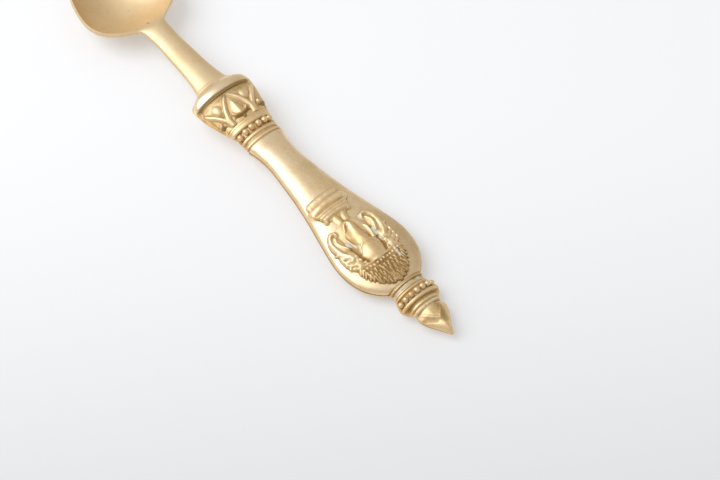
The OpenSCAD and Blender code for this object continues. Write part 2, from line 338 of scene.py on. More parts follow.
class Relief:
    """A height field in millimetres, modelled by strokes on a grid of two lengths."""

    def __init__(self, u: Array, v: Array, ground: float) -> None:
        """Starts flat.

        Args:
            u: first coordinate of every grid point, in millimetres.
            v: second coordinate.
            ground: the height where there is no stroke.
        """
        self.u, self.v = u, v
        self.h = np.full(u.shape, float(ground))
        self.residue = np.zeros(u.shape)
        self.dark_patches = np.zeros(u.shape)

    def _reach(self, path: Array) -> tuple[Array, Array]:
        """Distance to a path and the share of the path's length at its nearest point.

        Args:
            path: the path's points, one a row.

        Returns:
            Distance in millimetres, and position along the path counted in its own points.
        """
        near = np.full(self.u.shape, 1e9)
        at = np.zeros(self.u.shape)
        for k, (a, b) in enumerate(zip(path[:-1], path[1:])):
            du, dv = b - a
            t = ((self.u - a[0]) * du + (self.v - a[1]) * dv) / max(du * du + dv * dv, 1e-9)
            t = np.clip(t, 0, 1)
            gap = np.hypot(self.u - a[0] - t * du, self.v - a[1] - t * dv)
            closer = gap < near
            near = np.where(closer, gap, near)
            at = np.where(closer, k + t, at)
        return near, at

    def _profile(self, points: list, breadth: Array, shape: float) -> tuple[Array, Array]:
        """Cross-section of a stroke: (1 - (d/r)^2)^shape, with r changing along the path.

        Args:
            points: the path.
            breadth: r at each point, or one for all.
            shape: the power.

        Returns:
            The share, 0 to 1, and the position along the path counted in its points.
        """
        path = np.asarray(points, float)
        near, at = self._reach(path)
        radius = np.interp(at, np.arange(len(path)), np.broadcast_to(breadth, len(path)))
        share = np.clip(1 - (near / radius) ** 2, 0, 1) ** shape
        return share, at

    def raise_(self, points: list, breadth: Array, height: Array, shape: float = 0.5) -> None:
        """Raises a rounded ridge to a height along a path, keeping what is already higher.

        Args:
            points: the path.
            breadth: half breadth at each point, or one for all.
            height: height at each point, or one for all.
            shape: 0.5 for a round back, 1 for a softer one.
        """
        share, at = self._profile(points, np.asarray(breadth, float), shape)
        tall = np.interp(at, np.arange(len(points)), np.broadcast_to(height, len(points)))
        self.h = np.where(share > 0, np.maximum(self.h, tall * share), self.h)

    def swell(self, points: list, breadth: Array, height: float, shape: float = 1.0) -> None:
        """Adds a ridge on top of what is there, or cuts a groove where height is negative."""
        share, _ = self._profile(points, np.asarray(breadth, float), shape)
        self.h = self.h + height * share

    def paint(self, layer: Array, points: list, breadth: Array, amount: float = 1.0) -> None:
        """Marks residue or dark patches along a path, keeping what is already marked more.

        Args:
            layer: the mark's own grid, residue or dark_patches, which is changed in place.
            points: the path.
            breadth: half breadth at each point, or one for all.
            amount: the mark along the middle of the path.
        """
        share, _ = self._profile(points, np.asarray(breadth, float), 1.0)
        np.maximum(layer, amount * share, out=layer)

    def mound(self, centre: tuple[float, float], radii: tuple[float, float], height: float,
              turn: float = 0.0, shape: float = 0.5) -> None:
        """Raises an ellipsoid: height times (1 - the ellipse's form)^shape.

        Args:
            centre: its middle.
            radii: half lengths along its own two axes.
            height: its height.
            turn: degrees from the first coordinate towards the second.
            shape: 0.5 for an ellipsoid.
        """
        c, s = np.cos(np.radians(turn)), np.sin(np.radians(turn))
        du, dv = self.u - centre[0], self.v - centre[1]
        form = ((du * c + dv * s) / radii[0]) ** 2 + ((dv * c - du * s) / radii[1]) ** 2
        share = np.clip(1 - form, 0, 1) ** shape
        self.h = np.where(share > 0, np.maximum(self.h, height * share), self.h)

    def flame(self, foot: tuple[float, float], tip: tuple[float, float], half: float,
              height: float, keel: float = 0.0) -> None:
        """Raises a pointed leaf with an ogee outline and sloping sides.

        Its half breadth at a share t of the way up is half (1 - t)^0.8 (1 + 0.9 t), and its
        height falls off towards the outline. A keel is a groove down its middle.

        Args:
            foot: middle of its foot.
            tip: its point.
            half: half breadth at the foot.
            height: height of its middle.
            keel: depth of the groove.
        """
        du, dv = tip[0] - foot[0], tip[1] - foot[1]
        length = np.hypot(du, dv)
        t = ((self.u - foot[0]) * du + (self.v - foot[1]) * dv) / length ** 2
        across = np.abs((self.v - foot[1]) * du - (self.u - foot[0]) * dv) / length
        inside = (t > -0.08) & (t < 1)
        up = np.clip(t, 0, 0.999)
        breadth = half * (1 - up) ** 0.8 * (1 + 0.9 * up)
        share = np.clip(1 - across / breadth, 0, 1) ** 0.6
        groove = keel * np.exp(-(across / (0.22 * half)) ** 2) * (1 - up)
        tall = (height - 0.25 * height * up) * share - groove
        self.h = np.where(inside & (share > 0), np.maximum(self.h, tall), self.h)

    def soften(self, cells: float) -> None:
        """Rounds the whole field a little, as casting and polishing do."""
        self.h = blurred(self.h, cells, cells)

    def recess(self, cells: float, depth: float) -> Array:
        """How far each point lies below its surroundings, 0 to 1.

        Args:
            cells: size of the surroundings, as the blur's sigma.
            depth: the depth that counts as 1.

        Returns:
            The mask.
        """
        return np.clip((blurred(self.h, cells, cells) - self.h) / depth, 0, 1)

    def worn(self, cells: float, depth: float) -> Array:
        """How far each point stands above its surroundings, 0 to 1, as recess() counts."""
        return np.clip((self.h - blurred(self.h, cells, cells)) / depth, 0, 1)


def traced(corners: Stations, radius: float, spacing: float = 0.05) -> tuple[Array, Array]:
    """A moulding's profile: straight runs between corners, with every corner eased.

    The runs are walked at an even spacing, and place and half width are each averaged over a
    window that reaches radius along the profile to both sides.

    Args:
        corners: pairs of station and half width.
        radius: half the window, in millimetres.
        spacing: step along the profile.

    Returns:
        Station and half width of every step.
    """
    corner = np.asarray(corners, float)
    run = running(corner)
    at = np.linspace(0, run[-1], max(int(run[-1] / spacing), 8))
    shifts = np.linspace(-radius, radius, 11)[:, None]
    window = np.minimum(1, np.minimum(at, run[-1] - at) / radius)
    places = at[None] + shifts * window
    return (np.interp(places, run, corner[:, 0]).mean(0),
            np.interp(places, run, corner[:, 1]).mean(0))


def uneven(places: Array, size: float, seed: int) -> Array:
    """Slight unevenness of hand-finished castings: the mean of twelve plane waves.

    Args:
        places: points, in millimetres.
        size: length of the waves.
        seed: starts the random directions and phases.

    Returns:
        A value near -1 to 1 for each point.
    """
    rng = np.random.default_rng(seed)
    total = np.zeros(places.shape[:-1])
    for direction, phase in zip(rng.normal(size=(12, 3)), rng.uniform(0, 2 * np.pi, 12)):
        total += np.cos(places @ direction * (2 / size) + phase)
    return total / 6


# ------------------------------------------------------------------ finishes

Colour = tuple[float, float, float]


class Slot(Enum):
    """The record's finishes."""

    SATIN = "satin_brass"
    POLISHED = "polished_brass"
    CAST = "cast_brass"
    PIN = "pin_brass"
    CEMENT = "filler_cement"


@dataclass(frozen=True)
class Wire:
    """An output socket that Python's operators turn into Math nodes."""

    bench: "Bench"
    socket: bpy.types.NodeSocket

    def _math(self, operation: str, *values: object) -> "Wire":
        """A Math node of this operation on the given values."""
        return self.bench.add("ShaderNodeMath", {"operation": operation},
                              dict(enumerate(values)))

    def __add__(self, other: object) -> "Wire":
        """The sum."""
        return self._math("ADD", self, other)

    __radd__ = __add__

    def __sub__(self, other: object) -> "Wire":
        """The difference."""
        return self._math("SUBTRACT", self, other)

    def __rsub__(self, other: object) -> "Wire":
        """The difference, turned round."""
        return self._math("SUBTRACT", other, self)

    def __mul__(self, other: object) -> "Wire":
        """The product."""
        return self._math("MULTIPLY", self, other)

    __rmul__ = __mul__

    def within(self, low: float, high: float) -> "Wire":
        """0 below low, 1 above high, and a smooth step between."""
        return self.bench.add("ShaderNodeMapRange", {"interpolation_type": "SMOOTHSTEP"},
                              {0: self, 1: low, 2: high, 3: 0.0, 4: 1.0})

    def clamped(self) -> "Wire":
        """The value, kept from 0 to 1."""
        return self.bench.add("ShaderNodeClamp", {}, {0: self})


class Bench:
    """One material's node tree."""

    def __init__(self, name: str) -> None:
        """Starts a material with an output only.

        Args:
            name: the material's name.
        """
        self.material = bpy.data.materials.new(name)
        self.material.use_nodes = True
        self.tree = self.material.node_tree
        self.tree.nodes.clear()

    def add(self, kind: str, settings: dict | None = None, sockets: dict | None = None,
            out: int | str = 0) -> Wire:
        """Adds a node.

        Args:
            kind: the node's type.
            settings: its properties, set first.
            sockets: values or wires for its inputs, by name or number.
            out: the output to hand back.

        Returns:
            That output.
        """
        node = self.tree.nodes.new(kind)
        for key, value in (settings or {}).items():
            setattr(node, key, value)
        for key, value in (sockets or {}).items():
            if isinstance(value, Wire):
                self.tree.links.new(value.socket, node.inputs[key])
            else:
                node.inputs[key].default_value = value
        return Wire(self, node.outputs[out] if len(node.outputs) else None)

    def noise(self, place: Wire, size: float, detail: float = 2.0) -> Wire:
        """Noise whose features are about size metres across."""
        return self.add("ShaderNodeTexNoise", {"noise_dimensions": "3D"},
                        {"Vector": place, "Scale": 1 / size, "Detail": detail,
                         "Roughness": 0.55})

    def stretched(self, place: Wire, scale: tuple[float, float, float]) -> Wire:
        """A place with each axis scaled, so that a pattern on it is drawn out."""
        return self.add("ShaderNodeVectorMath", {"operation": "MULTIPLY"}, {0: place, 1: scale})

    def mark(self, name: str) -> Wire:
        """A mark carried by the mesh."""
        return self.add("ShaderNodeAttribute", {"attribute_name": name}, out="Fac")

    def mix(self, share: Wire, first: object, second: object) -> Wire:
        """Colour between two, by share.

        Args:
            share: 0 for the first and 1 for the second.
            first: a colour or a wire.
            second: a colour or a wire.

        Returns:
            The mixed colour.
        """
        ends = [(*end, 1.0) if isinstance(end, tuple) else end for end in (first, second)]
        return self.add("ShaderNodeMix", {"data_type": "RGBA"},
                        {0: share, 6: ends[0], 7: ends[1]}, out=2)

    def bumped(self, height: Wire, depth: float, under: Wire | None = None) -> Wire:
        """A normal bent by a height field.

        Args:
            height: the field, about 0 to 1.
            depth: metres for a height of 1.
            under: a normal to start from.

        Returns:
            The normal.
        """
        sockets = {"Height": height, "Distance": depth, "Strength": 1.0}
        if under is not None:
            sockets["Normal"] = under
        return self.add("ShaderNodeBump", {}, sockets)

    def shade(self, colour: object, rough: object, metal: object, normal: Wire,
              **fixed: float) -> bpy.types.Material:
        """Ends the tree in a Principled shader.

        Args:
            colour: base colour.
            rough: roughness.
            metal: metallic.
            normal: the normal.
            fixed: other constants, with _ for a space in the socket's name.

        Returns:
            The material.
        """
        sockets = {"Base Color": colour, "Roughness": rough, "Metallic": metal,
                   "Normal": normal}
        sockets.update({key.replace("_", " "): value for key, value in fixed.items()})
        surface = self.add("ShaderNodeBsdfPrincipled", {}, sockets)
        self.add("ShaderNodeOutputMaterial", {}, {"Surface": surface})
        return self.material


@dataclass(frozen=True)
class Brass:
    """A brass finish, from brushed to cast.

    Grain is the fine unevenness that makes the metal satin; hairs are drawn out along the
    handle; the recess mark darkens the colour, with dirt in hollows and with painted shade, and
    polish residue lies where the residue mark is; the worn mark lightens it, with
    wear on high places and a painted highlight on the lip. Sizes and depths are metres.
    """

    name: str
    fresh: Colour = (0.85, 0.665, 0.43)
    aged: Colour = (0.72, 0.515, 0.26)
    # Colour of wear on high places, and of the painted highlight on the lip.
    bright: Colour = (0.92, 0.77, 0.57)
    # Colour of dirt in hollows, and of painted shade round the crest and among the crown's flames.
    grime_and_shade: Colour = (0.30, 0.175, 0.04)
    residue: Colour = (0.62, 0.64, 0.54)
    ageing: float = 0.5
    rough: float = 0.4
    rough_spread: float = 0.12
    grain: float = 6e-6
    grain_size: float = 0.35e-3
    hairs: float = 2e-6
    hair_size: float = 0.11e-3
    pits: float = 0.0
    patch_size: float = 4.5e-3
    smear_size: float = 1.3e-3
    speckle_size: float = 0.55e-3
    dot_size: float = 0.9e-3
    blotching: float = 1.1
    # How far dirt with painted shade, and wear with a painted highlight, take over the colour.
    grime_and_shade_cover: float = 0.85
    worn_cover: float = 0.55

    def material(self) -> bpy.types.Material:
        """Builds the finish's material.

        Returns:
            The material.
        """
        bench = Bench(self.name)
        place = bench.add("ShaderNodeTexCoord", out="Object")
        recess, residue, worn = (bench.mark(name) for name in Solid.MARKS)
        patches = bench.noise(place, self.patch_size, 3.0)
        smears = bench.noise(bench.stretched(place, (0.35, 1.0, 1.0)), self.smear_size)
        grain = bench.noise(place, self.grain_size, 3.0)
        hairs = bench.noise(bench.stretched(place, (0.05, 1.0, 1.0)), self.hair_size)
        speckle = bench.noise(place, self.speckle_size)
        dots = 1 - bench.noise(place, self.dot_size).within(0.22, 0.3)
        # Darkening from the recess mark: dirt in hollows, and painted shade where the marks carry
        # it.
        dark = (recess * 1.25 + (speckle - 0.5) * 0.5 * recess + dots * 0.35).clamped()
        chalk = (residue * 1.5 - speckle.within(0.45, 0.75) * 0.7).clamped()
        aged = (patches.within(0.35, 0.68) * self.ageing + smears.within(0.4, 0.7) * 0.12
                + (speckle - 0.5) * self.blotching).clamped()
        colour = bench.mix(aged, self.fresh, self.aged)
        # Lighter on rubbed high places, and a painted highlight on the lip's side towards the
        # light.
        colour = bench.mix((worn * self.worn_cover).clamped(), colour, self.bright)
        # Dirt and painted shade darken the colour.
        colour = bench.mix((dark * self.grime_and_shade_cover).clamped(), colour, self.grime_and_shade)
        colour = bench.mix(chalk, colour, self.residue)
        rough = (self.rough + (patches - 0.5) * self.rough_spread + smears * 0.04
                 + dark * 0.2 + chalk * 0.4 - worn * 0.06).clamped()
        metal = ((1 - chalk) * (1 - dark * 0.2)).clamped()
        normal = bench.bumped(hairs, self.hairs, bench.bumped(grain, self.grain))
        if self.pits:
            normal = bench.bumped(1 - speckle.within(0.22, 0.34), -self.pits, normal)
        return bench.shade(colour, rough, metal, normal)


@dataclass(frozen=True)
class Cement:
    """The grey-buff cement inside the handle."""

    name: str = "cement"
    pale: Colour = (0.50, 0.47, 0.41)
    dark: Colour = (0.33, 0.30, 0.25)
    sand_size: float = 0.5e-3
    cloud_size: float = 3e-3
    rough: float = 0.92
    bump: float = 60e-6

    def material(self) -> bpy.types.Material:
        """Builds the cement's material.

        Returns:
            The material.
        """
        bench = Bench(self.name)
        place = bench.add("ShaderNodeTexCoord", out="Object")
        sand = bench.noise(place, self.sand_size, 4.0)
        clouds = bench.noise(place, self.cloud_size)
        colour = bench.mix((sand * 0.6 + clouds * 0.4).within(0.35, 0.65), self.dark, self.pale)
        return bench.shade(colour, self.rough, 0.0, bench.bumped(sand, self.bump))


# ------------------------------------------------------------------ sub-assemblies

# Stations along the handle, in millimetres.
JOINT = -21.0
LIP_START = -0.8
SHELL_START, SHELL_END = 17.8, 64.9
PIN_MIDDLE = 67.1


def hand_in(piece: bpy.types.Object, finish: bpy.types.Material, slot: Slot,
            *nodes: str) -> bpy.types.Object:
    """Gives a finished piece its material, hangs it under the root body and hides the CAD nodes
    that it stands for.

    Args:
        piece: the piece.
        finish: its material.
        slot: the record's finish; not used.
        nodes: CAD nodes that it replaces.

    Returns:
        The piece.
    """
    piece.data.materials.append(finish)
    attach(piece, "root")
    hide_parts(*nodes)
    LOG.info("%s: %d faces, for %s", piece.name, len(piece.data.polygons), ", ".join(nodes))
    return piece


@dataclass
class Server:
    """The bowl and the stem: one plain, satin half of the spoon, in two pieces."""

    axis: Axis
    finish: Brass
    bowl_length: float = 31.0
    bowl_half: float = 11.8
    widest: float = 12.2
    egg: float = 1.6
    rims: tuple[float, float] = (0.12, 0.5)
    edge: float = 0.9
    heart: float = 14.0
    hidden_end: float = 1.2
    drawn_in: float = 0.15
    bevel: float = 0.12
    fall: float = 0.35
    dish: tuple[float, float] = (2.3, 0.8)
    around: int = 512
    shoulder: Stations = ((0, 2.9), (1.5, 3.1), (2.5, 3.6), (3.7, 5.6), (5.1, 8), (7.1, 10.2),
                          (9.5, 11.4), (12.2, 11.8))
    underside: Stations = ((0, 5.35), (3, 4.7), (6, 2.9), (9, 1.35), (12.5, 0.3), (16, 0),
                           (19.5, 0.25), (23.5, 1.3), (27, 3.2), (31, 6.0))
    brim: Stations = ((0, 7.05), (5, 7.15), (12, 6.9), (20, 6.8), (27, 6.9), (31, 7.2))
    wall: Stations = ((0, 2.4), (3, 2.3), (5.5, 1.7), (9, 1.1), (14, 1), (31, 0.9))
    stem_half: Stations = ((-21, 2.9), (-17.5, 2.8), (-12, 3), (-8, 3.2), (-4, 3.6),
                           (-1.8, 4.05), (-0.8, 4.5))
    stem_rise: Stations = ((-21, 1.2), (-12, 1.35), (-5, 1.6), (-1.8, 1.85), (-0.8, 2.1))
    tang: tuple[float, float, float] = (34.0, 1.7, 0.8)
    pit: tuple[float, float, float, float] = (3.5, -0.45, 0.5, 0.16)

    def half(self, d: Array) -> Array:
        """Half width of the bowl: the shoulder's curve, then an egg's end.

        Past the widest place it is half sqrt(1 - u^egg), with u from 0 there to 1 at the tip.
        Before the joint it draws in, so that the end hides inside the stem.

        Args:
            d: places along the bowl from its joint.

        Returns:
            The half width at each.
        """
        u = np.clip((d - self.widest) / (self.bowl_length - self.widest), 0, 1)
        end = self.bowl_half * np.sqrt(1 - u ** self.egg)
        side = np.where(d < self.widest, smooth(self.shoulder, d), end)
        return side - self.drawn_in * self.tuck(d)

    def rim(self, d: Array) -> Array:
        """Width of the rim: narrow along the neck, full round the bowl."""
        return self.rims[0] + (self.rims[1] - self.rims[0]) * eased(d, 2.0, 8.0)

    @staticmethod
    def tuck(d: Array) -> Array:
        """Share of the way that the hidden end has drawn in, from 0 at the joint."""
        return np.clip(-d / 0.4, 0, 1)

    def dished(self, v: Array, t: Array = 0.0) -> Array:
        """Share of the dish's depth: (1 - |v|^2.3 - t^6)^0.8, v across and t towards the tip."""
        return np.clip(1 - np.abs(v) ** self.dish[0] - t ** 6, 0, 1) ** self.dish[1]

    def to_tip(self, d: Array) -> Array:
        """How far a place is from the heart of the hollow, at 0, to the tip, at 1."""
        return np.clip((d - self.heart) / (self.bowl_length - self.rims[1] - self.heart), 0, 1)

    def levels(self, d: Array) -> tuple[Array, Array, Array]:
        """Heights of the bowl over the table.

        Args:
            d: places from the joint.

        Returns:
            The brim, the floor of the hollow and the underside.
        """
        at, drawn = np.clip(d, 0, self.bowl_length), self.drawn_in * self.tuck(d)
        low = smooth(self.underside, at)
        return smooth(self.brim, at) - drawn / 1.5, low + smooth(self.wall, at) - drawn, low + drawn

    def bevelled(self, d: Array) -> Array:
        """How far the hollow starts below the brim: nothing at the neck, full in the bowl."""
        return self.bevel * eased(d, 3.0, 8.0)

    def outline(self) -> Array:
        """Closed outline of the bowl, evenly spaced, from the middle of its hidden end.

        Returns:
            Points of place from the joint and place across, one a row.
        """
        lead = np.linspace(-self.hidden_end, self.widest, 300)
        turn = np.sin(np.linspace(0, np.pi / 2, 300)[1:])
        d = np.concatenate([lead, self.widest + (self.bowl_length - self.widest) * turn])
        side = np.stack([d, self.half(d)], -1)
        start = [[-self.hidden_end, 0]]
        loop = np.concatenate([start, side, side[-2::-1] * (1, -1), start])
        run = running(loop)
        at = np.linspace(0, run[-1], self.around, endpoint=False)
        return np.stack([np.interp(at, run, loop[:, 0]), np.interp(at, run, loop[:, 1])], -1)

    def inset(self, outer: Array) -> Array:
        """The outline moved in by the rim's width, square to itself.

        Args:
            outer: the bowl's outline.

        Returns:
            The rim's inner outline.
        """
        along = np.roll(outer, -1, 0) - np.roll(outer, 1, 0)
        inward = np.stack([-along[:, 1], along[:, 0]], -1)
        inward /= np.linalg.norm(inward, axis=1, keepdims=True)
        inward *= np.sign(((np.array([self.heart, 0]) - outer) * inward).sum(1))[:, None]
        return outer + self.rim(outer[:, :1]) * inward

    def scaled(self, line: Array) -> Array:
        """Rings of a closed line scaled about the heart of the hollow, closer at the line.

        Args:
            line: the closed line.

        Returns:
            Its rings, from the heart outwards.
        """
        share = (1 - (1 - np.linspace(0.015, 1, 66)) ** 1.6)[:, None, None]
        centre = np.array([self.heart, 0.0])
        return centre + share * (line - centre)

    def hollow(self, inner: Array) -> tuple[Array, Array, Array]:
        """Rings of the hollow, from its heart to the rim, with the pit by the joint.

        A ring's height is brim + (floor - brim) dished(v, t).

        Args:
            inner: the rim's inner outline.

        Returns:
            Plan, height and darkening of every point, the pit's stain.
        """
        plan = self.scaled(inner)
        d, y = plan[..., 0], plan[..., 1]
        brim, floor, _ = self.levels(d)
        v = np.clip(np.abs(y) / np.maximum(self.half(d) - self.rim(d), 0.05), 0, 1)
        v[-1] = 1
        start = brim - self.bevelled(d)
        height = start + (floor - start) * self.dished(v, self.to_tip(d))
        place, across, size, depth = self.pit
        far = np.hypot(d - place, y - across) / size
        return plan, height - depth * np.exp(-3 * far ** 2), 0.75 * np.exp(-2.2 * far ** 2)

    def rim_arc(self, inner: Array, outer: Array) -> tuple[Array, Array]:
        """Rings over the rim: an arc from the hollow up to the brim and down its outside.

        Args:
            inner: the rim's inner outline.
            outer: its outer outline.

        Returns:
            Plan and height of every point.
        """
        turn = np.linspace(np.pi, 0, 14)[1:-1, None]
        out = 0.5 * (1 + np.cos(turn))
        plan = inner[None] + (outer - inner)[None] * out[..., None]
        d = plan[..., 0]
        lowered = self.bevelled(d)
        height = self.levels(d)[0] - lowered + lowered * np.sin(turn)
        return plan, height - self.fall * eased(out, 0.5, 1)

    def underneath(self, outer: Array) -> tuple[Array, Array]:
        """Rings of the back, from the rim in to below the heart.

        Args:
            outer: the bowl's outline.

        Returns:
            Plan and height of every point.
        """
        plan = self.scaled(outer)[::-1]
        d = plan[..., 0]
        brim, _, low = self.levels(d)
        v = np.clip(np.abs(plan[..., 1]) / np.maximum(self.half(d), 0.05), 0, 1)
        v[0] = 1
        edge = brim - self.edge
        return plan, edge + (low - edge) * self.dished(v, self.to_tip(d))

    def bowl(self) -> bpy.types.Object:
        """Builds the bowl in rings: the hollow, over the rim, and the back.

        Returns:
            The bowl.
        """
        outer = self.outline()
        inner = self.inset(outer)
        plan, height, grime_and_shade = self.hollow(inner)
        arc, arc_height = self.rim_arc(inner, outer)
        back, back_height = self.underneath(outer)
        plan = np.concatenate([plan, arc, back])
        height = np.concatenate([height, arc_height, back_height])
        s = JOINT - plan[..., 0]
        grid = self.axis.place(s, plan[..., 1], self.axis.table(s) + height)
        return Solid().tube(grid, recess=grime_and_shade).mesh("spoon_bowl")

    def stem(self) -> bpy.types.Object:
        """Builds the stem and its tang.

        A ring of the stem is the same section as the bowl's neck: a crowned top between two
        rounded edges, and a crowned back. The tang is a flat bar, a superellipse in section.

        Returns:
            The stem.
        """
        s = np.concatenate([np.linspace(JOINT, -2, 110), np.linspace(-1.95, LIP_START, 24)])
        half = smooth(self.stem_half, s)[:, None] - self.rims[0]
        rise = smooth(self.stem_rise, s)[:, None]
        rim = 0.45 + 0.05 * (1 - eased(s, JOINT, JOINT + 2))[:, None]
        v = np.sin(np.linspace(-np.pi / 2, np.pi / 2, 61))[None]
        crowned = self.dished(v)
        out = 0.5 * (1 + np.cos(np.linspace(np.pi, 0, 10)[None, 1:-1]))
        side_y, side_z = half + self.rims[0] * out, rim - self.fall * eased(out, 0.5, 1)
        low = rim - self.edge
        y = np.concatenate([v * half, side_y, -v * (half + self.rims[0]), -side_y[:, ::-1]], 1)
        z = np.concatenate([rim + (rise - rim) * crowned, side_z, low - (rise + low) * crowned,
                            side_z[:, ::-1]], 1)
        body = self.axis.place(s[:, None], y, z)
        end, tang_half, tang_rise = self.tang
        a = np.linspace(0, 2 * np.pi, 32, endpoint=False)[None]
        st = np.linspace(LIP_START - 0.4, end, 40)[:, None]
        point = 1 - 0.35 * eased(st, end - 5, end)
        tang = self.axis.place(st, tang_half * point * powered(np.cos(a), 6),
                               tang_rise * point * powered(np.sin(a), 6))
        return Solid().tube(body).tube(tang).mesh("spoon_stem")

    def build(self) -> None:
        """Builds and dresses the two pieces."""
        satin = self.finish.material()
        hand_in(self.bowl(), satin, Slot.SATIN, "bowl")
        hand_in(self.stem(), satin, Slot.SATIN, "stem")


@dataclass(frozen=True)
class Turning:
    """A flattened moulding whose back is plain.

    Over the front a ring of half width w is y = w cos a and z = front w sin a, as a
    superellipse of the given power. Behind the seam it is the same curve with the plain
    sweep's half width, where that is wider, and a narrow ledge joins the two.
    """

    corners: Stations
    plain: Stations
    front: float
    back: float
    ease: float = 0.12
    power: float = 2.0
    half_turn: int = 90
    wobble: float = 0.02
    ledge: float = 0.05

    def rings(self, seed: int) -> tuple[Array, Array, Array]:
        """Works out the moulding's surface.

        Args:
            seed: starts its slight unevenness.

        Returns:
            Grids of s, y and z, by step along the profile and by angle.
        """
        s, w = traced(self.corners, self.ease)
        a = np.linspace(0, np.pi, self.half_turn)[None]
        s, w = np.broadcast_to(s[:, None], (len(s), self.half_turn)), w[:, None]
        p = np.maximum(w, smooth(self.plain, s[:, :1])) + self.ledge
        cos, sin = powered(np.cos(a), self.power), np.abs(powered(np.sin(a), self.power))
        y = np.concatenate([w * cos, -p * cos], 1)
        z = np.concatenate([self.front * w * sin, -self.back * p * sin], 1)
        s = np.concatenate([s, s], 1)
        lump = self.wobble * uneven(np.stack([s, y, z], -1), 2.2, seed) / w
        return s, y * (1 + lump), z * (1 + lump * (z > 0))

    def piece(self, name: str, axis: Axis, seed: int, grime_and_shade: Stations,
              chalk: Stations = ((0, 0), (1, 0)), painted_highlight: float = 0.0) -> bpy.types.Object:
        """Builds the moulding as a piece, marked on its front.

        Args:
            name: the object's name.
            axis: the handle's axis.
            seed: starts its unevenness, and its patches of residue.
            grime_and_shade: darkening of the front by station.
            chalk: residue by station.
            painted_highlight: how far the side towards the light is painted lighter, a painted
                highlight.

        Returns:
            The piece.
        """
        s, y, z = self.rings(seed)
        patchy = 0.75 + 0.6 * uneven(np.stack([s, y, z], -1), 1.6, seed + 50)
        residue = by_place(chalk, s) * np.clip(patchy, 0, 1) * (z > 0)
        mark = by_place(grime_and_shade, s) * (1 - residue) * eased(z, 0.0, 0.5)
        # Painted highlight: the front is lightened on its side towards the light.
        worn = painted_highlight * (1 - mark) * eased(z, 0.3, 1.5) * eased(-y, -3.0, 4.0)
        grid = axis.place(s, y, z)
        return Solid().tube(grid, recess=mark, residue=residue, worn=worn).mesh(name)


def beads(axis: Axis, station: float, seat: float, share: float, diameter: float, count: int,
          seed: int) -> Solid:
    """A row of balls over the front of a flattened ring, evenly spaced along it.

    A ball's middle lies on the ring's outline pushed out by nearly the ball's radius, so that
    it sits in the ring. The spacing is even along that line, which is measured in small steps.
    Each ball is a grid of angles, pulled a little out of round.

    Args:
        axis: the handle's axis.
        station: where the row lies.
        seat: half width of the ring.
        share: the ring's height as a share of its half width.
        diameter: of a ball.
        count: balls in the row.
        seed: for their small differences.

    Returns:
        The balls.
    """
    a = np.linspace(0, np.pi, 400)
    line = np.stack([seat * np.cos(a), seat * share * np.sin(a)], -1)
    out = np.stack([share * np.cos(a), np.sin(a)], -1)
    line = line + 0.47 * diameter * out / np.linalg.norm(out, axis=1, keepdims=True)
    run = running(line)
    at = run[-1] * (np.arange(count) + 0.6) / (count + 0.2)
    rng = np.random.default_rng(seed)
    u, v = np.meshgrid(np.linspace(0.06, np.pi - 0.06, 22),
                       np.linspace(0, 2 * np.pi, 36, endpoint=False), indexing="ij")
    solid = Solid()
    for place in at:
        y, z = np.interp(place, run, line[:, 0]), np.interp(place, run, line[:, 1])
        radius = diameter / 2 * (1 + rng.uniform(-0.05, 0.03, 3))
        drift = rng.normal(0, 0.035, 2)
        ball = axis.place(station + drift[0] + radius[0] * np.cos(u),
                          y + drift[1] + radius[1] * np.sin(u) * np.cos(v),
                          z + radius[2] * np.sin(u) * np.sin(v))
        solid.tube(ball)
    return solid


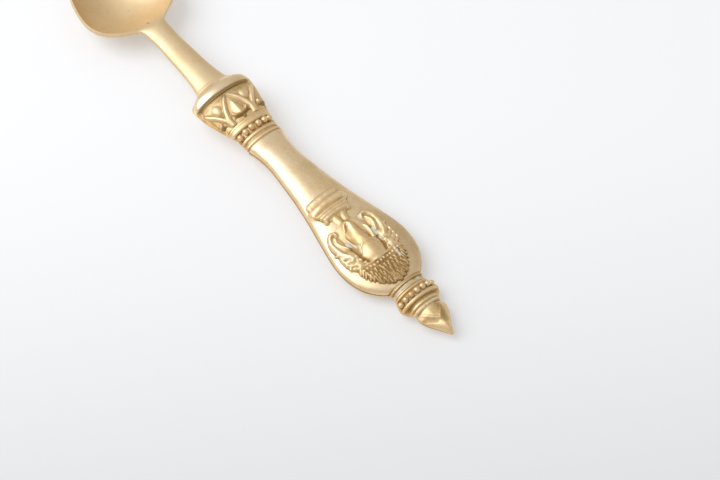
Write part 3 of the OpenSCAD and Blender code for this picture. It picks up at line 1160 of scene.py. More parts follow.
@dataclass
class Collar:
    """The collar: lip, cap with lance leaves, and a beaded spool."""

    axis: Axis
    polished: Brass
    cast: Brass
    front: float = 0.47
    cap_front: float = 0.42
    back: float = 0.42
    bead: float = 1.5
    bead_count: int = 6
    bead_station: float = 14.15
    bead_seat: float = 3.8
    leaf_pitch: float = 7.2
    lean: float = -0.35
    bell: Stations = ((-0.8, 4.7), (0, 6.0), (0.6, 7.0), (1.3, 7.55), (2.1, 7.7), (3.2, 7.62),
                      (6, 7.2), (8.5, 6.5), (11.3, 5.7), (13.1, 5.05), (14.15, 4.85),
                      (17.8, 4.7))
    lip: Stations = ((-0.8, 4.5), (-0.75, 4.8), (-0.2, 5.7), (0.3, 6.5), (0.8, 7.05),
                     (1.4, 7.35), (2.1, 7.5), (2.5, 7.45), (2.68, 7.2), (2.8, 6.75),
                     (3.0, 6.55), (3.2, 6.5), (3.2, 6.0))
    cap: Stations = ((3.2, 6.6), (3.5, 6.65), (4.2, 6.9), (6, 6.75), (8.5, 6.15), (11.3, 5.4))
    spool: Stations = ((11.3, 4.9), (11.32, 5.2), (11.6, 5.5), (11.95, 5.5), (12.1, 5.35),
                       (12.8, 5.3), (13.1, 5.05), (13.25, 4.3), (13.45, 3.8), (14.9, 3.8),
                       (15.1, 4.3), (15.4, 4.65), (15.8, 4.7), (16.05, 4.5), (16.15, 4.15),
                       (16.6, 4.15), (16.75, 4.6), (17.1, 4.8), (17.4, 4.75), (17.5, 4.45),
                       (17.8, 4.45))
    lip_grime: Stations = ((2.5, 0), (2.75, 0.6), (2.9, 0.9), (3.2, 0.9))
    cap_grime: Stations = ((3.2, 0.7), (3.8, 0.4), (4.3, 0))
    spool_grime: Stations = ((11.3, 0.5), (11.5, 0), (13.0, 0), (13.35, 0.3), (14.9, 0.25),
                             (15.2, 0.1), (15.9, 0), (16.15, 0.4), (16.6, 0.35), (16.8, 0),
                             (17.4, 0), (17.55, 0.5))

    def over_cap(self, s: Array, share: Array, lift: Array) -> Array:
        """Points over the cap's front.

        Args:
            s: stations.
            share: place across, -1 to 1, as a share of the outline's running length.
            lift: height over the cap, along its outward normal.

        Returns:
            Row-frame points.
        """
        table = np.linspace(0, np.pi, 721)
        step = np.hypot(np.sin(table), self.cap_front * np.cos(table))
        run = np.concatenate([[0], np.cumsum((step[1:] + step[:-1]) / 2)])
        a = np.interp((1 - share) / 2 * run[-1], run, table)
        xs, ws = traced(self.cap, 0.12)
        w = np.interp(s, xs, ws)
        normal = np.stack([self.cap_front * np.cos(a), np.sin(a)])
        normal = normal / np.hypot(*normal)
        return self.axis.place(s, w * np.cos(a) + lift * normal[0],
                               w * self.cap_front * np.sin(a) + lift * normal[1])

    @staticmethod
    def leaf(art: Relief, middle: float) -> None:
        """Draws one lance leaf: a raised V, a smaller shield inside it and a pocket below.

        Args:
            art: the relief, in station and place across.
            middle: the leaf's place across.
        """
        art.flame((11.2, middle), (3.6, middle), 2.9, 0.3)
        for side in (-1, 1):
            art.raise_([(3.7, middle), (5.3, middle + 1.25 * side), (7.4, middle + 2.45 * side),
                        (9.4, middle + 3.35 * side), (11.2, middle + 3.6 * side)],
                       [0.42, 0.5, 0.58, 0.7, 0.85], [0.55, 0.6, 0.62, 0.6, 0.42], 0.7)
        art.flame((9.7, middle), (6.2, middle), 1.5, 0.75)
        art.raise_([(9.0, middle - 1.9), (9.8, middle - 1.3), (10.1, middle),
                    (9.8, middle + 1.3), (9.0, middle + 1.9)], [0.3, 0.5, 0.5, 0.5, 0.3], 0.72)
        art.swell([(10.8, middle - 1.9), (10.95, middle), (10.8, middle + 1.9)], 0.65, -0.42)
        art.mound((10.8, middle + 0.3), (0.42, 0.55), 0.3)
        # The pocket under the leaf is painted darker.
        art.paint(art.dark_patches, [(10.4, middle - 1.6), (10.7, middle), (10.3, middle + 1.8)], 1.1, 1.0)

    def leaves(self) -> bpy.types.Object:
        """Builds the band of leaves as one relief over the cap's front.

        Returns:
            The band.
        """
        s, share = np.meshgrid(np.linspace(3.22, 11.29, 150), np.linspace(-0.93, 0.93, 300),
                               indexing="ij")
        art = Relief(s, share * self.leaf_pitch - self.lean, 0.04)
        for place in (-1, 0, 1):
            self.leaf(art, place * self.leaf_pitch)
        for place in (-0.5, 0.5):
            art.mound((6.0, place * self.leaf_pitch), (1.5, 1.1), 0.45, shape=0.8)
        art.swell([(3.6, -8), (3.6, 8)], 0.6, -0.12)
        art.soften(2.4)
        rough = uneven(np.stack([s, 7 * share, 0 * s], -1), 1.2, 14)
        creased = 1.1 * np.exp(-((s - 3.5) / 0.95) ** 2) * (0.75 + 0.5 * rough)
        ends = eased(np.abs(share), 0.88, 0.93)
        grid = self.over_cap(s, share, art.h - 0.18 * (ends + eased(s, 11.1, 11.29)))
        heart = self.axis.place(7.0, 0.0, 0.4)
        mark = np.maximum.reduce([art.recess(10, 0.36), creased, art.dark_patches])
        return Solid().patch(grid, heart, recess=np.maximum(np.clip(mark, 0, 1), 0.6 * ends),
                             worn=art.worn(9, 0.3)).mesh("collar_leaf_band", 60)

    def build(self) -> None:
        """Builds and dresses the collar."""
        polished, cast = self.polished.material(), self.cast.material()
        # The lip carries a painted highlight on its side towards the light.
        lip = Turning(self.lip, self.bell, self.front, self.back).piece(
            "collar_mouth", self.axis, 11, self.lip_grime, painted_highlight=1.0)
        hand_in(lip, polished, Slot.POLISHED, "collar_lip")
        cap = Turning(self.cap, self.bell, self.cap_front, self.back).piece(
            "collar_cup", self.axis, 12, self.cap_grime)
        hand_in(cap, cast, Slot.CAST, "collar_cap")
        hand_in(self.leaves(), cast, Slot.CAST, "collar_leaves")
        spool = Turning(self.spool, self.bell, self.front, self.back).piece(
            "collar_reel", self.axis, 13, self.spool_grime)
        hand_in(spool, cast, Slot.CAST, "collar_spool")
        row = beads(self.axis, self.bead_station, self.bead_seat, self.front, self.bead,
                    self.bead_count, 14)
        hand_in(row.mesh("collar_bead_row"), cast, Slot.CAST, "collar_beads")


@dataclass
class Handle:
    """The two half shells of the handle and the crest on the front one."""

    axis: Axis
    polished: Brass
    cast: Brass
    wall: float = 0.55
    front_power: float = 2.3
    back_power: float = 3.2
    ledge: float = 0.12
    rounding: float = 0.22
    # Painted shade on the front shell's side away from the light, along the crest.
    far_side_shade: float = 0.3
    half: Stations = ((17.8, 4.7), (19.5, 4.35), (21.5, 4.05), (24.5, 3.95), (29, 4.4),
                      (34.5, 5.15), (40.5, 6.3), (46, 7.6), (51.5, 8.8), (55, 9.1),
                      (58.5, 8.7), (61.2, 7.7), (63.2, 6.3), (64.3, 5.2), (64.9, 4.5))
    front: Stations = ((17.8, 2.4), (21, 2.1), (27, 2.1), (40, 2.4), (56, 2.4), (62, 2.2),
                       (64.9, 2.0))
    back: Stations = ((17.8, 2.0), (21, 1.8), (40, 1.8), (60, 1.8), (64.9, 1.7))
    crest_half: Stations = ((37, 4.7), (40, 5.1), (42, 4.7), (43.5, 4.7), (46, 6.0),
                            (50, 7.7), (53, 7.6), (56.5, 6.8), (59.5, 6.2), (62, 4.4),
                            (63.5, 2.7), (64.7, 0.9))
    crest_ends: tuple[float, float] = (37.0, 64.7)
    crest_middle: float = -0.5
    crest_shift: float = 0.35
    lean: Stations = ((37, -0.88), (56, -0.8), (64.5, -0.45))
    crest_chalk: Strokes = ((((59.5, 3.6), (57, 4.0), (55, 3.8), (53.4, 3.4)), 0.42, 0.8),
                            (((51.9, 3.5), (50.9, 3.7)), 0.75, 1.0),
                            (((47.4, 3.4), (45.9, 2.9), (45.6, 2.4)), 0.55, 0.9),
                            (((52.6, -2.0), (51.6, -2.6), (50.3, -3.3)), 0.55, 1.0),
                            (((54.0, -2.3), (53.0, -2.2)), 0.4, 0.5))
    crown: Stations = ((56.0, 5.8), (57.5, 5.7), (59, 5.4), (60.5, 4.6), (62, 3.4),
                       (63.2, 2.1), (64.3, 0.2))

    @staticmethod
    def stations() -> Array:
        """Rows of the shells, closer together at both ends.

        Returns:
            Their stations.
        """
        head, body, tail = 0.5, 200, 6.0
        return np.concatenate([SHELL_START + np.linspace(0, head, 12)[:-1],
                               np.linspace(SHELL_START + head, SHELL_END - tail - 0.1, body),
                               SHELL_END - np.linspace(tail, 0, 60)])

    def eased_end(self, s: Array) -> Array:
        """How far the shells' rims are rounded off at their two ends, a quarter circle."""
        near = np.clip(np.minimum(s - SHELL_START, SHELL_END - s) / self.rounding, 0, 1)
        return self.rounding * (1 - np.sqrt(1 - (1 - near) ** 2))

    def shell_side(self, s: Array, a: Array, inset: float, front: bool) -> tuple[Array, Array]:
        """Section of one half shell.

        It is the half superellipse y = w cos^(2/n) a, z = h sin^(2/n) a, with the edge along
        the seam drawn in over its last fraction of a millimetre.

        Args:
            s: stations.
            a: angles from one seam to the other, 0 to pi.
            inset: how far inside the outer face.
            front: the decorated half, or the plain one.

        Returns:
            y and z.
        """
        drawn = self.eased_end(s) + inset
        n = self.front_power if front else self.back_power
        w = smooth(self.half, s) - drawn + (0 if front else self.ledge)
        h = smooth(self.front if front else self.back, s) - drawn
        y, z = w * powered(np.cos(a), n), h * np.abs(powered(np.sin(a), n))
        depth, reach = (0.2, 0.3) if front else (0.1, 0.16)
        y = y - np.sign(y) * depth * np.clip(1 - z / reach, 0, 1) ** 2 * (inset == 0)
        return y, z if front else -z

    def shell(self, name: str, front: bool, seed: int) -> bpy.types.Object:
        """Builds one half shell, with dirt along its seam, and on the front shell dirt with painted
        shadow round the crest's foot and painted shade on its side away from the light.

        Args:
            name: the object's name.
            front: the decorated half, or the plain one.
            seed: starts its slight unevenness.

        Returns:
            The shell.
        """
        around = np.linspace(0, np.pi, 110)
        around = around - 0.42 * np.sin(2 * around) / 2
        s, a = np.meshgrid(self.stations(), around, indexing="ij")
        y, z = self.shell_side(s, a, 0.0, front)
        lump = 0.02 * uneven(np.stack([s, y, z], -1), 5.0, seed) * np.sin(a)
        z = z + (lump if front else -lump)
        inner = self.axis.place(s, *self.shell_side(s, a, self.wall, front))
        seam = np.clip(1 - np.abs(z) / 0.2, 0, 1) ** 1.5
        ends = np.exp(-((s - SHELL_START) / 0.25) ** 2) + np.exp(-((SHELL_END - s) / 0.12) ** 2)
        mark = np.maximum(0.7 * seam, 0.5 * ends)
        if front:
            art = Relief(s, y, 0.0)
            self.draw_crest(art)
            # Painted shadow, with some dirt, round the crest's foot on the shell; darkest along the
            # crown's edge.
            near = blurred(np.clip(art.h, 0, 0.4), 1.3, 0.9)
            painted_shadow_limit = 0.45 + 0.5 * eased(s, 55.5, 57.5)
            # Painted shade: the shell's side away from the light is darkened.
            painted_far_side_shade = self.far_side_shade * eased(s, 42.0, 56.0) * eased(y, 0.5, 7.0)
            mark = np.maximum.reduce([mark, np.clip(near * 1.8 - 0.05, 0, painted_shadow_limit), painted_far_side_shade])
        return Solid().shell(self.axis.place(s, y, z), inner, recess=mark).mesh(name, 50)

    def draw_crest(self, art: Relief) -> None:
        """Draws the crest: three trunked heads on a pedestal, under a crown of flames.

        The figure leans a little to one side of the handle's middle.

        Args:
            art: the relief, in station and place across.
        """
        art.v = art.v - by_place(self.lean, art.u)
        art.u = art.u - self.crest_shift
        self.draw_pedestal(art)
        self.draw_heads(art)
        self.draw_crown(art)

    @staticmethod
    def draw_pedestal(art: Relief) -> None:
        """Draws the stepped pedestal and the two feet.

        Args:
            art: the relief.
        """
        art.mound((41.2, 0), (3.1, 3.9), 0.62, shape=0.4)
        art.raise_([(38.0, -3.1), (37.9, 0), (38.0, 3.1)], 1.05, 0.5, 0.8)
        art.raise_([(39.8, -3.8), (39.6, 0), (39.8, 3.8)], 1.25, 0.86, 0.7)
        for station, half in ((41.1, 3.7), (41.85, 3.4), (42.6, 3.1)):
            art.raise_([(station + 0.15, -half), (station, 0), (station + 0.15, half)], 0.42, 0.98)
        for side in (-1, 1):
            art.mound((40.3, 4.3 * side), (0.95, 0.7), 0.8)
            art.mound((38.0, 3.5 * side), (0.85, 0.75), 0.56)
            art.mound((43.2, 3.0 * side), (0.7, 0.6), 0.65)
            art.raise_([(43.4, 1.0 * side), (45.2, 0.8 * side)], [1.1, 0.9], [0.5, 0.42], 1.0)

    @staticmethod
    def draw_heads(art: Relief) -> None:
        """Draws the body, the middle head with its trunk, and the two heads beside it.

        Args:
            art: the relief.
        """
        # The body, the brow, and the trunk with its curled tip and its rings.
        art.mound((52.6, 0), (7.4, 6.7), 0.26, shape=0.3)
        art.mound((50.8, 0), (5.6, 4.4), 0.55)
        art.mound((54.6, 0), (4.2, 2.9), 1.5, shape=0.7)
        art.raise_([(54.6, 0), (52.4, 0), (50.2, 0), (48.6, 0.05), (47.2, 0.2)],
                   [2.4, 2.1, 1.7, 1.35, 1.1], [1.42, 1.4, 1.25, 1.15, 1.05], 0.7)
        art.raise_([(47.6, 0.2), (46.6, 0.3), (46.1, -0.2), (46.3, -0.9), (47.0, -1.4),
                    (47.8, -1.8)], [0.85, 0.62, 0.52, 0.46, 0.4, 0.3],
                   [1.1, 1.0, 0.95, 0.95, 0.9, 0.75])
        for rung in np.arange(47.8, 51.6, 0.66):
            half = 0.4 + 0.16 * (rung - 47.8)
            art.swell([(rung + 0.15, -half), (rung, 0), (rung + 0.15, half)], 0.15, -0.04)
        for side in (-1, 1):
            # An eye and a tusk.
            art.swell([(53.2, 2.05 * side), (53.6, 2.3 * side)], 0.3, -0.2)
            art.raise_([(52.6, 2.3 * side), (50.9, 2.75 * side), (49.6, 2.85 * side),
                        (48.8, 2.6 * side)], [0.55, 0.46, 0.36, 0.22], [1.05, 0.9, 0.8, 0.6], 0.7)
            # The head beside it: its ground, skull and poll, and the rim of its ear.
            art.mound((50.0, 4.9 * side), (3.6, 1.5), 0.55)
            art.mound((54.2, 4.9 * side), (2.6, 1.9), 0.98, turn=10 * side)
            art.mound((56.1, 4.5 * side), (1.3, 1.25), 0.95)
            art.raise_([(55.8, 5.5 * side), (54.2, 6.3 * side), (52.4, 6.45 * side),
                        (51.6, 6.3 * side)], [0.55, 0.6, 0.45, 0.25], [0.85, 0.8, 0.66, 0.5])
            # Its trunk, curled inwards, with an inner fold and a tusk.
            art.raise_([(53.2, 5.2 * side), (51.3, 5.75 * side), (49.5, 6.0 * side),
                        (47.9, 5.85 * side), (46.8, 5.3 * side), (46.2, 4.5 * side),
                        (46.45, 3.8 * side), (47.2, 3.55 * side)],
                       [0.95, 0.8, 0.66, 0.58, 0.52, 0.48, 0.42, 0.34],
                       [0.95, 0.88, 0.84, 0.82, 0.8, 0.76, 0.72, 0.62])
            art.raise_([(47.5, 4.3 * side), (48.7, 4.9 * side), (50.1, 4.6 * side),
                        (51.5, 3.8 * side)], [0.3, 0.42, 0.46, 0.4], [0.6, 0.75, 0.82, 0.9])
            art.raise_([(53.3, 4.6 * side), (52.0, 5.4 * side), (51.3, 6.1 * side),
                        (50.7, 7.0 * side)], [0.42, 0.4, 0.33, 0.2], [1.12, 1.05, 0.85, 0.5])
            # Its eye, the folds of its ear and the curls above them.
            art.swell([(54.6, 4.45 * side), (54.85, 4.75 * side)], 0.3, -0.3)
            for station in (53.3, 54.5, 55.7):
                art.swell([(station - 0.5, 6.6 * side), (station, 5.6 * side),
                           (station + 0.5, 5.1 * side)], 0.26, -0.3)
                art.mound((station - 0.35, 6.55 * side), (0.55, 0.42), 0.84)
            for station, middle in ((54.0, 3.75), (55.2, 3.5), (56.3, 3.1)):
                art.mound((station, middle * side), (0.5, 0.4), 1.05)
            # Its brow, the groove between the heads, and the middle head's brow.
            art.raise_([(55.3, 4.0 * side), (55.5, 5.0 * side)], 0.24, 1.05)
            art.swell([(56.6, 2.5 * side), (54.8, 3.15 * side), (52.6, 3.2 * side),
                       (50.2, 3.5 * side)], [0.3, 0.4, 0.45, 0.4], -0.26)
            art.raise_([(54.2, 2.5 * side), (53.1, 1.9 * side), (52.6, 0.9 * side),
                        (52.7, 0)], [0.3, 0.42, 0.42, 0.4], [1.05, 1.3, 1.46, 1.52], 0.8)

    def draw_crown(self, art: Relief) -> None:
        """Draws the crown: a domed pad, a band with beads over it, and many flames.

        The flames stand in rows across the pad, and one more row leans out over each edge.

        Args:
            art: the relief.
        """
        half = np.maximum(smooth(self.crown, art.u), 0.05)
        pad = np.clip(1 - (np.abs(art.v) / half) ** 4, 0, 1) ** 0.5 * eased(art.u, 56.3, 57.0)
        pad = pad * (art.u < self.crown[-1][0])
        art.h = np.where(pad > 0, np.maximum(art.h, 0.66 * pad), art.h)
        art.raise_([(56.7, -5), (57.2, -2), (57.3, 0), (57.2, 2), (56.7, 5)], 0.3,
                   [0.75, 1.0, 1.1, 1.0, 0.75])
        random = np.random.default_rng(77)
        for middle in np.linspace(-4.7, 4.7, 12):
            ds, dh = random.uniform(-0.12, 0.12, 2)
            art.mound((58.1 - 0.022 * middle ** 2 + ds, middle), (0.5, 0.42),
                      1.12 - 0.06 * abs(middle) + dh)
        for k, station in enumerate(np.arange(59.0, 63.4, 0.74)):
            reach = float(smooth(self.crown, station)) - 0.2
            count = max(int(2 * reach / 0.98), 1)
            for middle in (np.arange(count) - (count - 1) / 2) * 2 * reach / count:
                ds, dy, dh = random.uniform(-0.17, 0.17, 3)
                foot = station - 0.02 * middle ** 2 + ds
                art.flame((foot, middle + dy), (foot + 1.35 + dh, 1.04 * middle + 1.6 * dy), 0.52,
                          1.2 - 0.05 * k - 0.05 * abs(middle) + dh, 0.12)
        for station in np.arange(57.2, 64.0, 0.78):
            reach = float(smooth(self.crown, station))
            for side in (-1, 1):
                ds, dy = random.uniform(-0.15, 0.15, 2)
                art.flame((station - 0.5 + ds, (reach - 0.75) * side),
                          (station + 0.75 + ds, (reach + 0.12 + dy) * side), 0.5, 0.74)
        art.flame((62.4, 0), (64.7, 0), 0.8, 0.85, 0.1)

    def crest(self) -> bpy.types.Object:
        """Builds the crest as a thin relief that lies on the front shell.

        Its middle is softened as by wear, and the crown keeps its crispness. The drawn height is
        laid on the shell's own section.

        Returns:
            The crest.
        """
        low, high = self.crest_ends
        s, share = np.meshgrid(np.linspace(low, high, 360), np.linspace(-1, 1, 236),
                               indexing="ij")
        y = self.crest_middle + share * smooth(self.crest_half, s)
        art = Relief(s, y, -0.1)
        self.draw_crest(art)
        flat = np.stack([s, y, 0 * s], -1)
        lumps = 0.05 * uneven(flat, 1.3, 41) + 0.03 * uneven(flat, 0.6, 42)
        art.h = art.h + lumps * np.clip(art.h / 0.5, 0, 1)
        crisp = blurred(art.h, 0.9, 0.9)
        art.soften(2.3)
        art.h = art.h + (crisp - art.h) * eased(s, 56.5, 58.5)
        recess = np.clip(art.recess(8, 0.4) + 0.5 * art.recess(2.5, 0.16), 0, 1)
        # Over the crown the mark rises everywhere: dirt, and painted shade among the flames.
        recess = np.clip(recess * (1 + 1.6 * eased(s, 57, 59)) + 0.5 * eased(s, 57, 62), 0, 1)
        for points, breadth, amount in self.crest_chalk:
            art.paint(art.residue, points, breadth, amount)
        mark = art.residue * np.clip(0.25 + recess * 2.0, 0, 1)
        edge = 0.15 * eased(np.abs(share), 0.93, 1) + 0.15 * eased(s, high - 0.3, high)
        cover = np.clip(np.abs(y) / smooth(self.half, s), 0, 0.999)
        n = self.front_power
        shell = smooth(self.front, s) * (1 - cover ** n) ** (1 / n)
        top = self.axis.place(s, y, shell + art.h - edge)
        heart = self.axis.place((low + high) / 2, 0.0, 1.0)
        return Solid().patch(top, heart, recess=recess * (1 - mark), residue=mark,
                             worn=art.worn(8, 0.5)).mesh("handle_crest", 60)

    def build(self) -> None:
        """Builds and dresses the shells and the crest."""
        polished = self.polished.material()
        hand_in(self.shell("handle_shell_front", True, 21), polished, Slot.POLISHED,
                "handle_front")
        hand_in(self.shell("handle_shell_back", False, 22), polished, Slot.POLISHED,
                "handle_back")
        hand_in(self.crest(), self.cast.material(), Slot.CAST, "crest")


@dataclass
class Finial:
    """The finial: neck, beaded cup, spool and bud."""

    axis: Axis
    cast: Brass
    front: float = 0.58
    back: float = 0.475
    bead: float = 1.35
    bead_count: int = 7
    bead_station: float = 68.65
    bead_seat: float = 3.85
    funnel: Stations = ((64.9, 4.5), (65.8, 4.15), (66.9, 4.3), (68.3, 4.8), (69.4, 5.1),
                        (70, 5.1), (71, 4.55), (72, 3.6), (72.7, 3.3), (80.5, 0))
    neck: Stations = ((64.9, 3.9), (64.98, 4.2), (65.15, 4.35), (65.28, 4.18), (65.4, 4.4),
                      (65.58, 4.35), (65.7, 3.85), (65.8, 3.78), (66.4, 3.8), (66.5, 4.05),
                      (66.75, 4.12), (66.9, 3.9))
    cup: Stations = ((66.9, 3.9), (66.95, 4.15), (67.2, 4.38), (67.5, 4.3), (67.7, 3.95),
                     (67.9, 3.85), (69.25, 3.85), (69.4, 4.3), (69.6, 4.72), (69.95, 4.86),
                     (70.25, 4.7), (70.38, 4.2), (70.4, 3.6))
    ring: Stations = ((70.4, 3.5), (70.5, 3.5), (70.78, 3.42), (70.88, 3.55), (71.1, 3.66),
                      (71.42, 3.6), (71.56, 3.35), (71.66, 3.2), (71.78, 3.2),
                      (71.88, 3.4), (72.1, 3.5), (72.35, 3.42), (72.5, 3.2), (72.7, 3.1))
    bud: Stations = ((72.7, 3.05), (72.85, 3.3), (73.3, 3.52), (74.2, 3.62), (75.6, 3.15),
                     (77, 2.33), (78.6, 1.33), (79.8, 0.66), (80.3, 0.36), (80.48, 0.15),
                     (80.5, 0.02))
    keel: Stations = ((72.7, 1), (75.0, 1), (77, 1.32), (78.6, 2.0), (79.6, 2.5), (80.5, 2.7))
    neck_grime: Stations = ((64.9, 0.5), (65.05, 0), (65.28, 0.35), (65.4, 0), (65.55, 0.1),
                            (65.7, 0.8), (66.4, 0.5), (66.55, 0), (66.8, 0), (66.9, 0.5))
    neck_chalk: Stations = ((65.68, 0), (65.8, 0.62), (66.3, 0.62), (66.46, 0))
    cup_grime: Stations = ((66.9, 0.5), (67.1, 0), (67.5, 0.1), (67.8, 0.45), (69.2, 0.6),
                           (69.5, 0.15), (69.7, 0), (70.2, 0), (70.4, 0.5))
    cup_chalk: Stations = ((68.7, 0), (69.1, 0.5), (69.35, 0.5), (69.5, 0))
    ring_grime: Stations = ((70.4, 0.6), (70.75, 0.5), (70.95, 0), (71.45, 0), (71.62, 0.5),
                            (71.8, 0.5), (71.9, 0), (72.4, 0), (72.6, 0.5))
    ring_chalk: Stations = ((71.95, 0), (72.1, 0.45), (72.45, 0.45), (72.6, 0))

    def turned(self, name: str, corners: Stations, seed: int, grime_and_shade: Stations,
               chalk: Stations) -> bpy.types.Object:
        """Builds one turned piece of the finial, as Turning.piece() does."""
        turning = Turning(corners, self.funnel, self.front, self.back, ease=0.08)
        return turning.piece(name, self.axis, seed, grime_and_shade, chalk)

    def budded(self) -> bpy.types.Object:
        """Builds the bud: a pointed turning whose front carries a folded, keeled petal.

        The keel makes the front taller towards the tip than the turning alone would be.

        Returns:
            The bud.
        """
        s, y, z = Turning(self.bud, self.funnel, self.front, self.back, ease=0.3, power=1.62,
                          half_turn=120, wobble=0.01).rings(31)
        z = np.where(z > 0, z * smooth(self.keel, s), z)
        art = Relief(s, y + 0.1, 0.0)
        art.flame((72.9, 0), (76.8, 0), 2.2, 0.2)
        for side in (-1, 1):
            art.raise_([(76.4, 0), (75.2, 1.3 * side), (74.2, 2.1 * side), (73.3, 2.6 * side)],
                       [0.42, 0.48, 0.45, 0.3], [0.34, 0.34, 0.26, 0.1], 0.8)
        art.swell([(73.6, 0.3), (74.9, 0.15)], [1.1, 0.8], -0.16)
        art.swell([(74.7, -3.0), (75.9, -1.75), (76.8, -0.9)], [0.4, 0.45, 0.4], -0.12)
        art.soften(1.7)
        # Darker patches are painted over the petal's top and beside its lower arm.
        art.paint(art.dark_patches, [(73.5, 1.5), (75.3, 1.3), (77.0, 0.8)], 1.1, 0.55)
        art.paint(art.dark_patches, [(74.8, -2.0), (75.6, -1.2)], 0.6, 0.35)
        facing = np.clip(z / 0.6, 0, 1)
        recess = np.clip(np.maximum(-art.h / 0.3, art.dark_patches), 0, 1) * facing
        seam = np.exp(-((z - 0.05) / 0.1) ** 2) * 0.6 * (s < 79.5) * (z > 0)
        grid = self.axis.place(s, y, z + art.h * facing)
        return Solid().tube(grid, recess=np.maximum(recess, seam)).mesh("finial_lotus", 50)

    def build(self) -> None:
        """Builds and dresses the finial."""
        cast = self.cast.material()
        neck = self.turned("finial_throat", self.neck, 32, self.neck_grime, self.neck_chalk)
        hand_in(neck, cast, Slot.CAST, "finial_neck")
        cup = self.turned("finial_chalice", self.cup, 33, self.cup_grime, self.cup_chalk)
        hand_in(cup, cast, Slot.CAST, "finial_cup")
        row = beads(self.axis, self.bead_station, self.bead_seat, self.front, self.bead,
                    self.bead_count, 34)
        hand_in(row.mesh("finial_bead_row"), cast, Slot.CAST, "finial_beads")
        ring = self.turned("finial_reel", self.ring, 35, self.ring_grime, self.ring_chalk)
        hand_in(ring, cast, Slot.CAST, "finial_spool")
        hand_in(self.budded(), cast, Slot.CAST, "finial_bud")


@dataclass
class Core:
    """The pieces inside the handle, which keep their CAD shapes."""

    nodes: dict[str, bpy.types.Object]

    def dress(self, node: str, finish: bpy.types.Material) -> None:
        """Gives a node its material.

        Args:
            node: the node's name.
            finish: its material.
        """
        piece = self.nodes[node]
        piece.data.materials.clear()
        piece.data.materials.append(finish)
        LOG.info("%s: CAD shape kept", node)

    def build(self) -> None:
        """Dresses the cement and the pin."""
        self.dress("handle_filler", Cement().material())
        drawn = Brass("pin_brass", hairs=5e-6, ageing=0.3)
        self.dress("finial_pin", drawn.material())


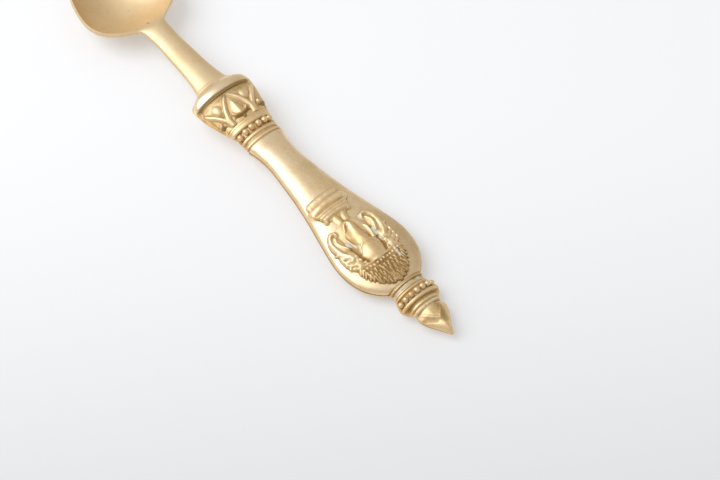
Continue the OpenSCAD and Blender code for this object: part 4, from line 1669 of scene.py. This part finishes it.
@dataclass
class Studio:
    """Camera, floor and soft light.

    Angles are degrees and lengths metres; the lens is in millimetres. The key light hangs
    aside and overhead, by those two shares of a metre.
    """

    azimuth: float = 49.45
    elevation: float = 58.0
    distance: float = 0.451
    aside: float = 0.0237
    below: float = 0.0221
    nudge: tuple[float, float, float] = (-0.0005, 0.0, 0.0001)
    lens: float = 100.0
    floor_half: float = 1.5
    floor_colour: Colour = (0.565, 0.56, 0.555)
    # Painted light on the floor: a falloff to floor_shade towards the camera, and floor_glow, which
    # lifts the shadows.
    floor_shade: Colour = (0.30, 0.30, 0.30)
    floor_fade: tuple[float, float] = (-0.01, 0.09)
    floor_glow: float = 0.31
    fibre: float = 1.2e-3
    sky: Colour = (0.65, 0.635, 0.61)
    key_aside: float = 0.58
    key_above: float = 0.7
    key_size: float = 0.8
    key_radiance: float = 3.5
    key_colour: Colour = (0.93, 1.0, 1.12)

    def __post_init__(self) -> None:
        """Works out the camera's three directions."""
        a, e = np.radians(self.azimuth), np.radians(self.elevation)
        self.back = Vector((np.sin(a) * np.cos(e), -np.cos(a) * np.cos(e), np.sin(e)))
        self.right = Vector((np.cos(a), np.sin(a), 0))
        self.up = self.back.cross(self.right)

    def camera(self) -> None:
        """Makes the camera."""
        data = bpy.data.cameras.new("camera")
        data.lens, data.sensor_width = self.lens, 36
        data.clip_start, data.clip_end = 0.01, 10
        eye = bpy.data.objects.new("camera", data)
        eye.location = (self.back * self.distance + self.right * self.aside
                        - self.up * self.below + Vector(self.nudge))
        eye.rotation_euler = (-self.back).to_track_quat("-Z", "Y").to_euler()
        bpy.context.scene.collection.objects.link(eye)
        bpy.context.scene.camera = eye

    def light(self) -> None:
        """Hangs the key, a square soft light that faces the spoon.

        Its power is its radiance times pi times its area.
        """
        data = bpy.data.lights.new("key", "AREA")
        data.shape, data.size, data.size_y = "RECTANGLE", self.key_size, self.key_size
        data.energy = self.key_radiance * np.pi * self.key_size ** 2
        data.color = self.key_colour
        lamp = bpy.data.objects.new("key", data)
        place = Vector((0, 0, self.key_above)) - self.right * self.key_aside
        lamp.location = place
        lamp.rotation_euler = place.to_track_quat("Z", "Y").to_euler()
        bpy.context.scene.collection.objects.link(lamp)

    def floor(self) -> None:
        """Lays the floor: one flat sheet, pale and matt, with a painted falloff of light that
        darkens it towards the camera, and a faint glow, painted light that lifts the shadows.
        """
        bench = Bench("floor_paper")
        place = bench.add("ShaderNodeTexCoord", out="Object")
        fibre = bench.noise(place, self.fibre)
        near = bench.add("ShaderNodeVectorMath", {"operation": "DOT_PRODUCT"},
                         {0: place, 1: (self.back.x, self.back.y, 0)}, "Value")
        # Painted light falloff: darker towards the camera.
        colour = bench.mix(near.within(*self.floor_fade), self.floor_colour, self.floor_shade)
        # The floor glows: painted light that lifts the shadows round the spoon.
        paper = bench.shade(colour, 0.85, 0.0, bench.bumped(fibre, 4e-6),
                            Emission_Color=(1, 1, 1, 1), Emission_Strength=self.floor_glow)
        mesh = bpy.data.meshes.new("floor")
        h = self.floor_half
        mesh.from_pydata([(-h, -h, 0), (h, -h, 0), (h, h, 0), (-h, h, 0)], [], [(0, 1, 2, 3)])
        mesh.materials.append(paper)
        sheet = bpy.data.objects.new("floor", mesh)
        bpy.context.scene.collection.objects.link(sheet)

    def build(self) -> None:
        """Sets the stage."""
        self.camera()
        self.floor()
        world = bpy.data.worlds.new("room")
        world.use_nodes = True
        bpy.context.scene.world = world
        sky = world.node_tree.nodes["Background"]
        sky.inputs["Color"].default_value = (*self.sky, 1)
        self.light()
        view = bpy.context.scene.view_settings
        view.view_transform = "Standard"
        view.look = "None"


def main() -> None:
    """Builds the studio and the spoon, sub-assembly by sub-assembly."""
    logging.basicConfig(level=logging.INFO, format="%(name)s: %(message)s")
    axis = Axis.from_pin("finial_pin", PIN_MIDDLE)
    satin = Brass("satin_brass", fresh=(0.77, 0.60, 0.37), aged=(0.71, 0.535, 0.30), rough=0.55,
                  grain=5e-6, grain_size=0.22e-3, hairs=1.5e-6)
    polished = Brass("polished_brass", pits=5e-6, ageing=0.6)
    cast = Brass("cast_brass", fresh=(0.81, 0.61, 0.355), aged=(0.67, 0.465, 0.21), rough=0.5,
                 grain=8e-6, hairs=0.5e-6, pits=8e-6, ageing=0.7)
    Studio().build()
    Server(axis, satin).build()
    Collar(axis, polished, cast).build()
    Handle(axis, polished, cast).build()
    Finial(axis, cast).build()
    Core(frame["nodes"]).build()


if __name__ == "__main__":
    main()
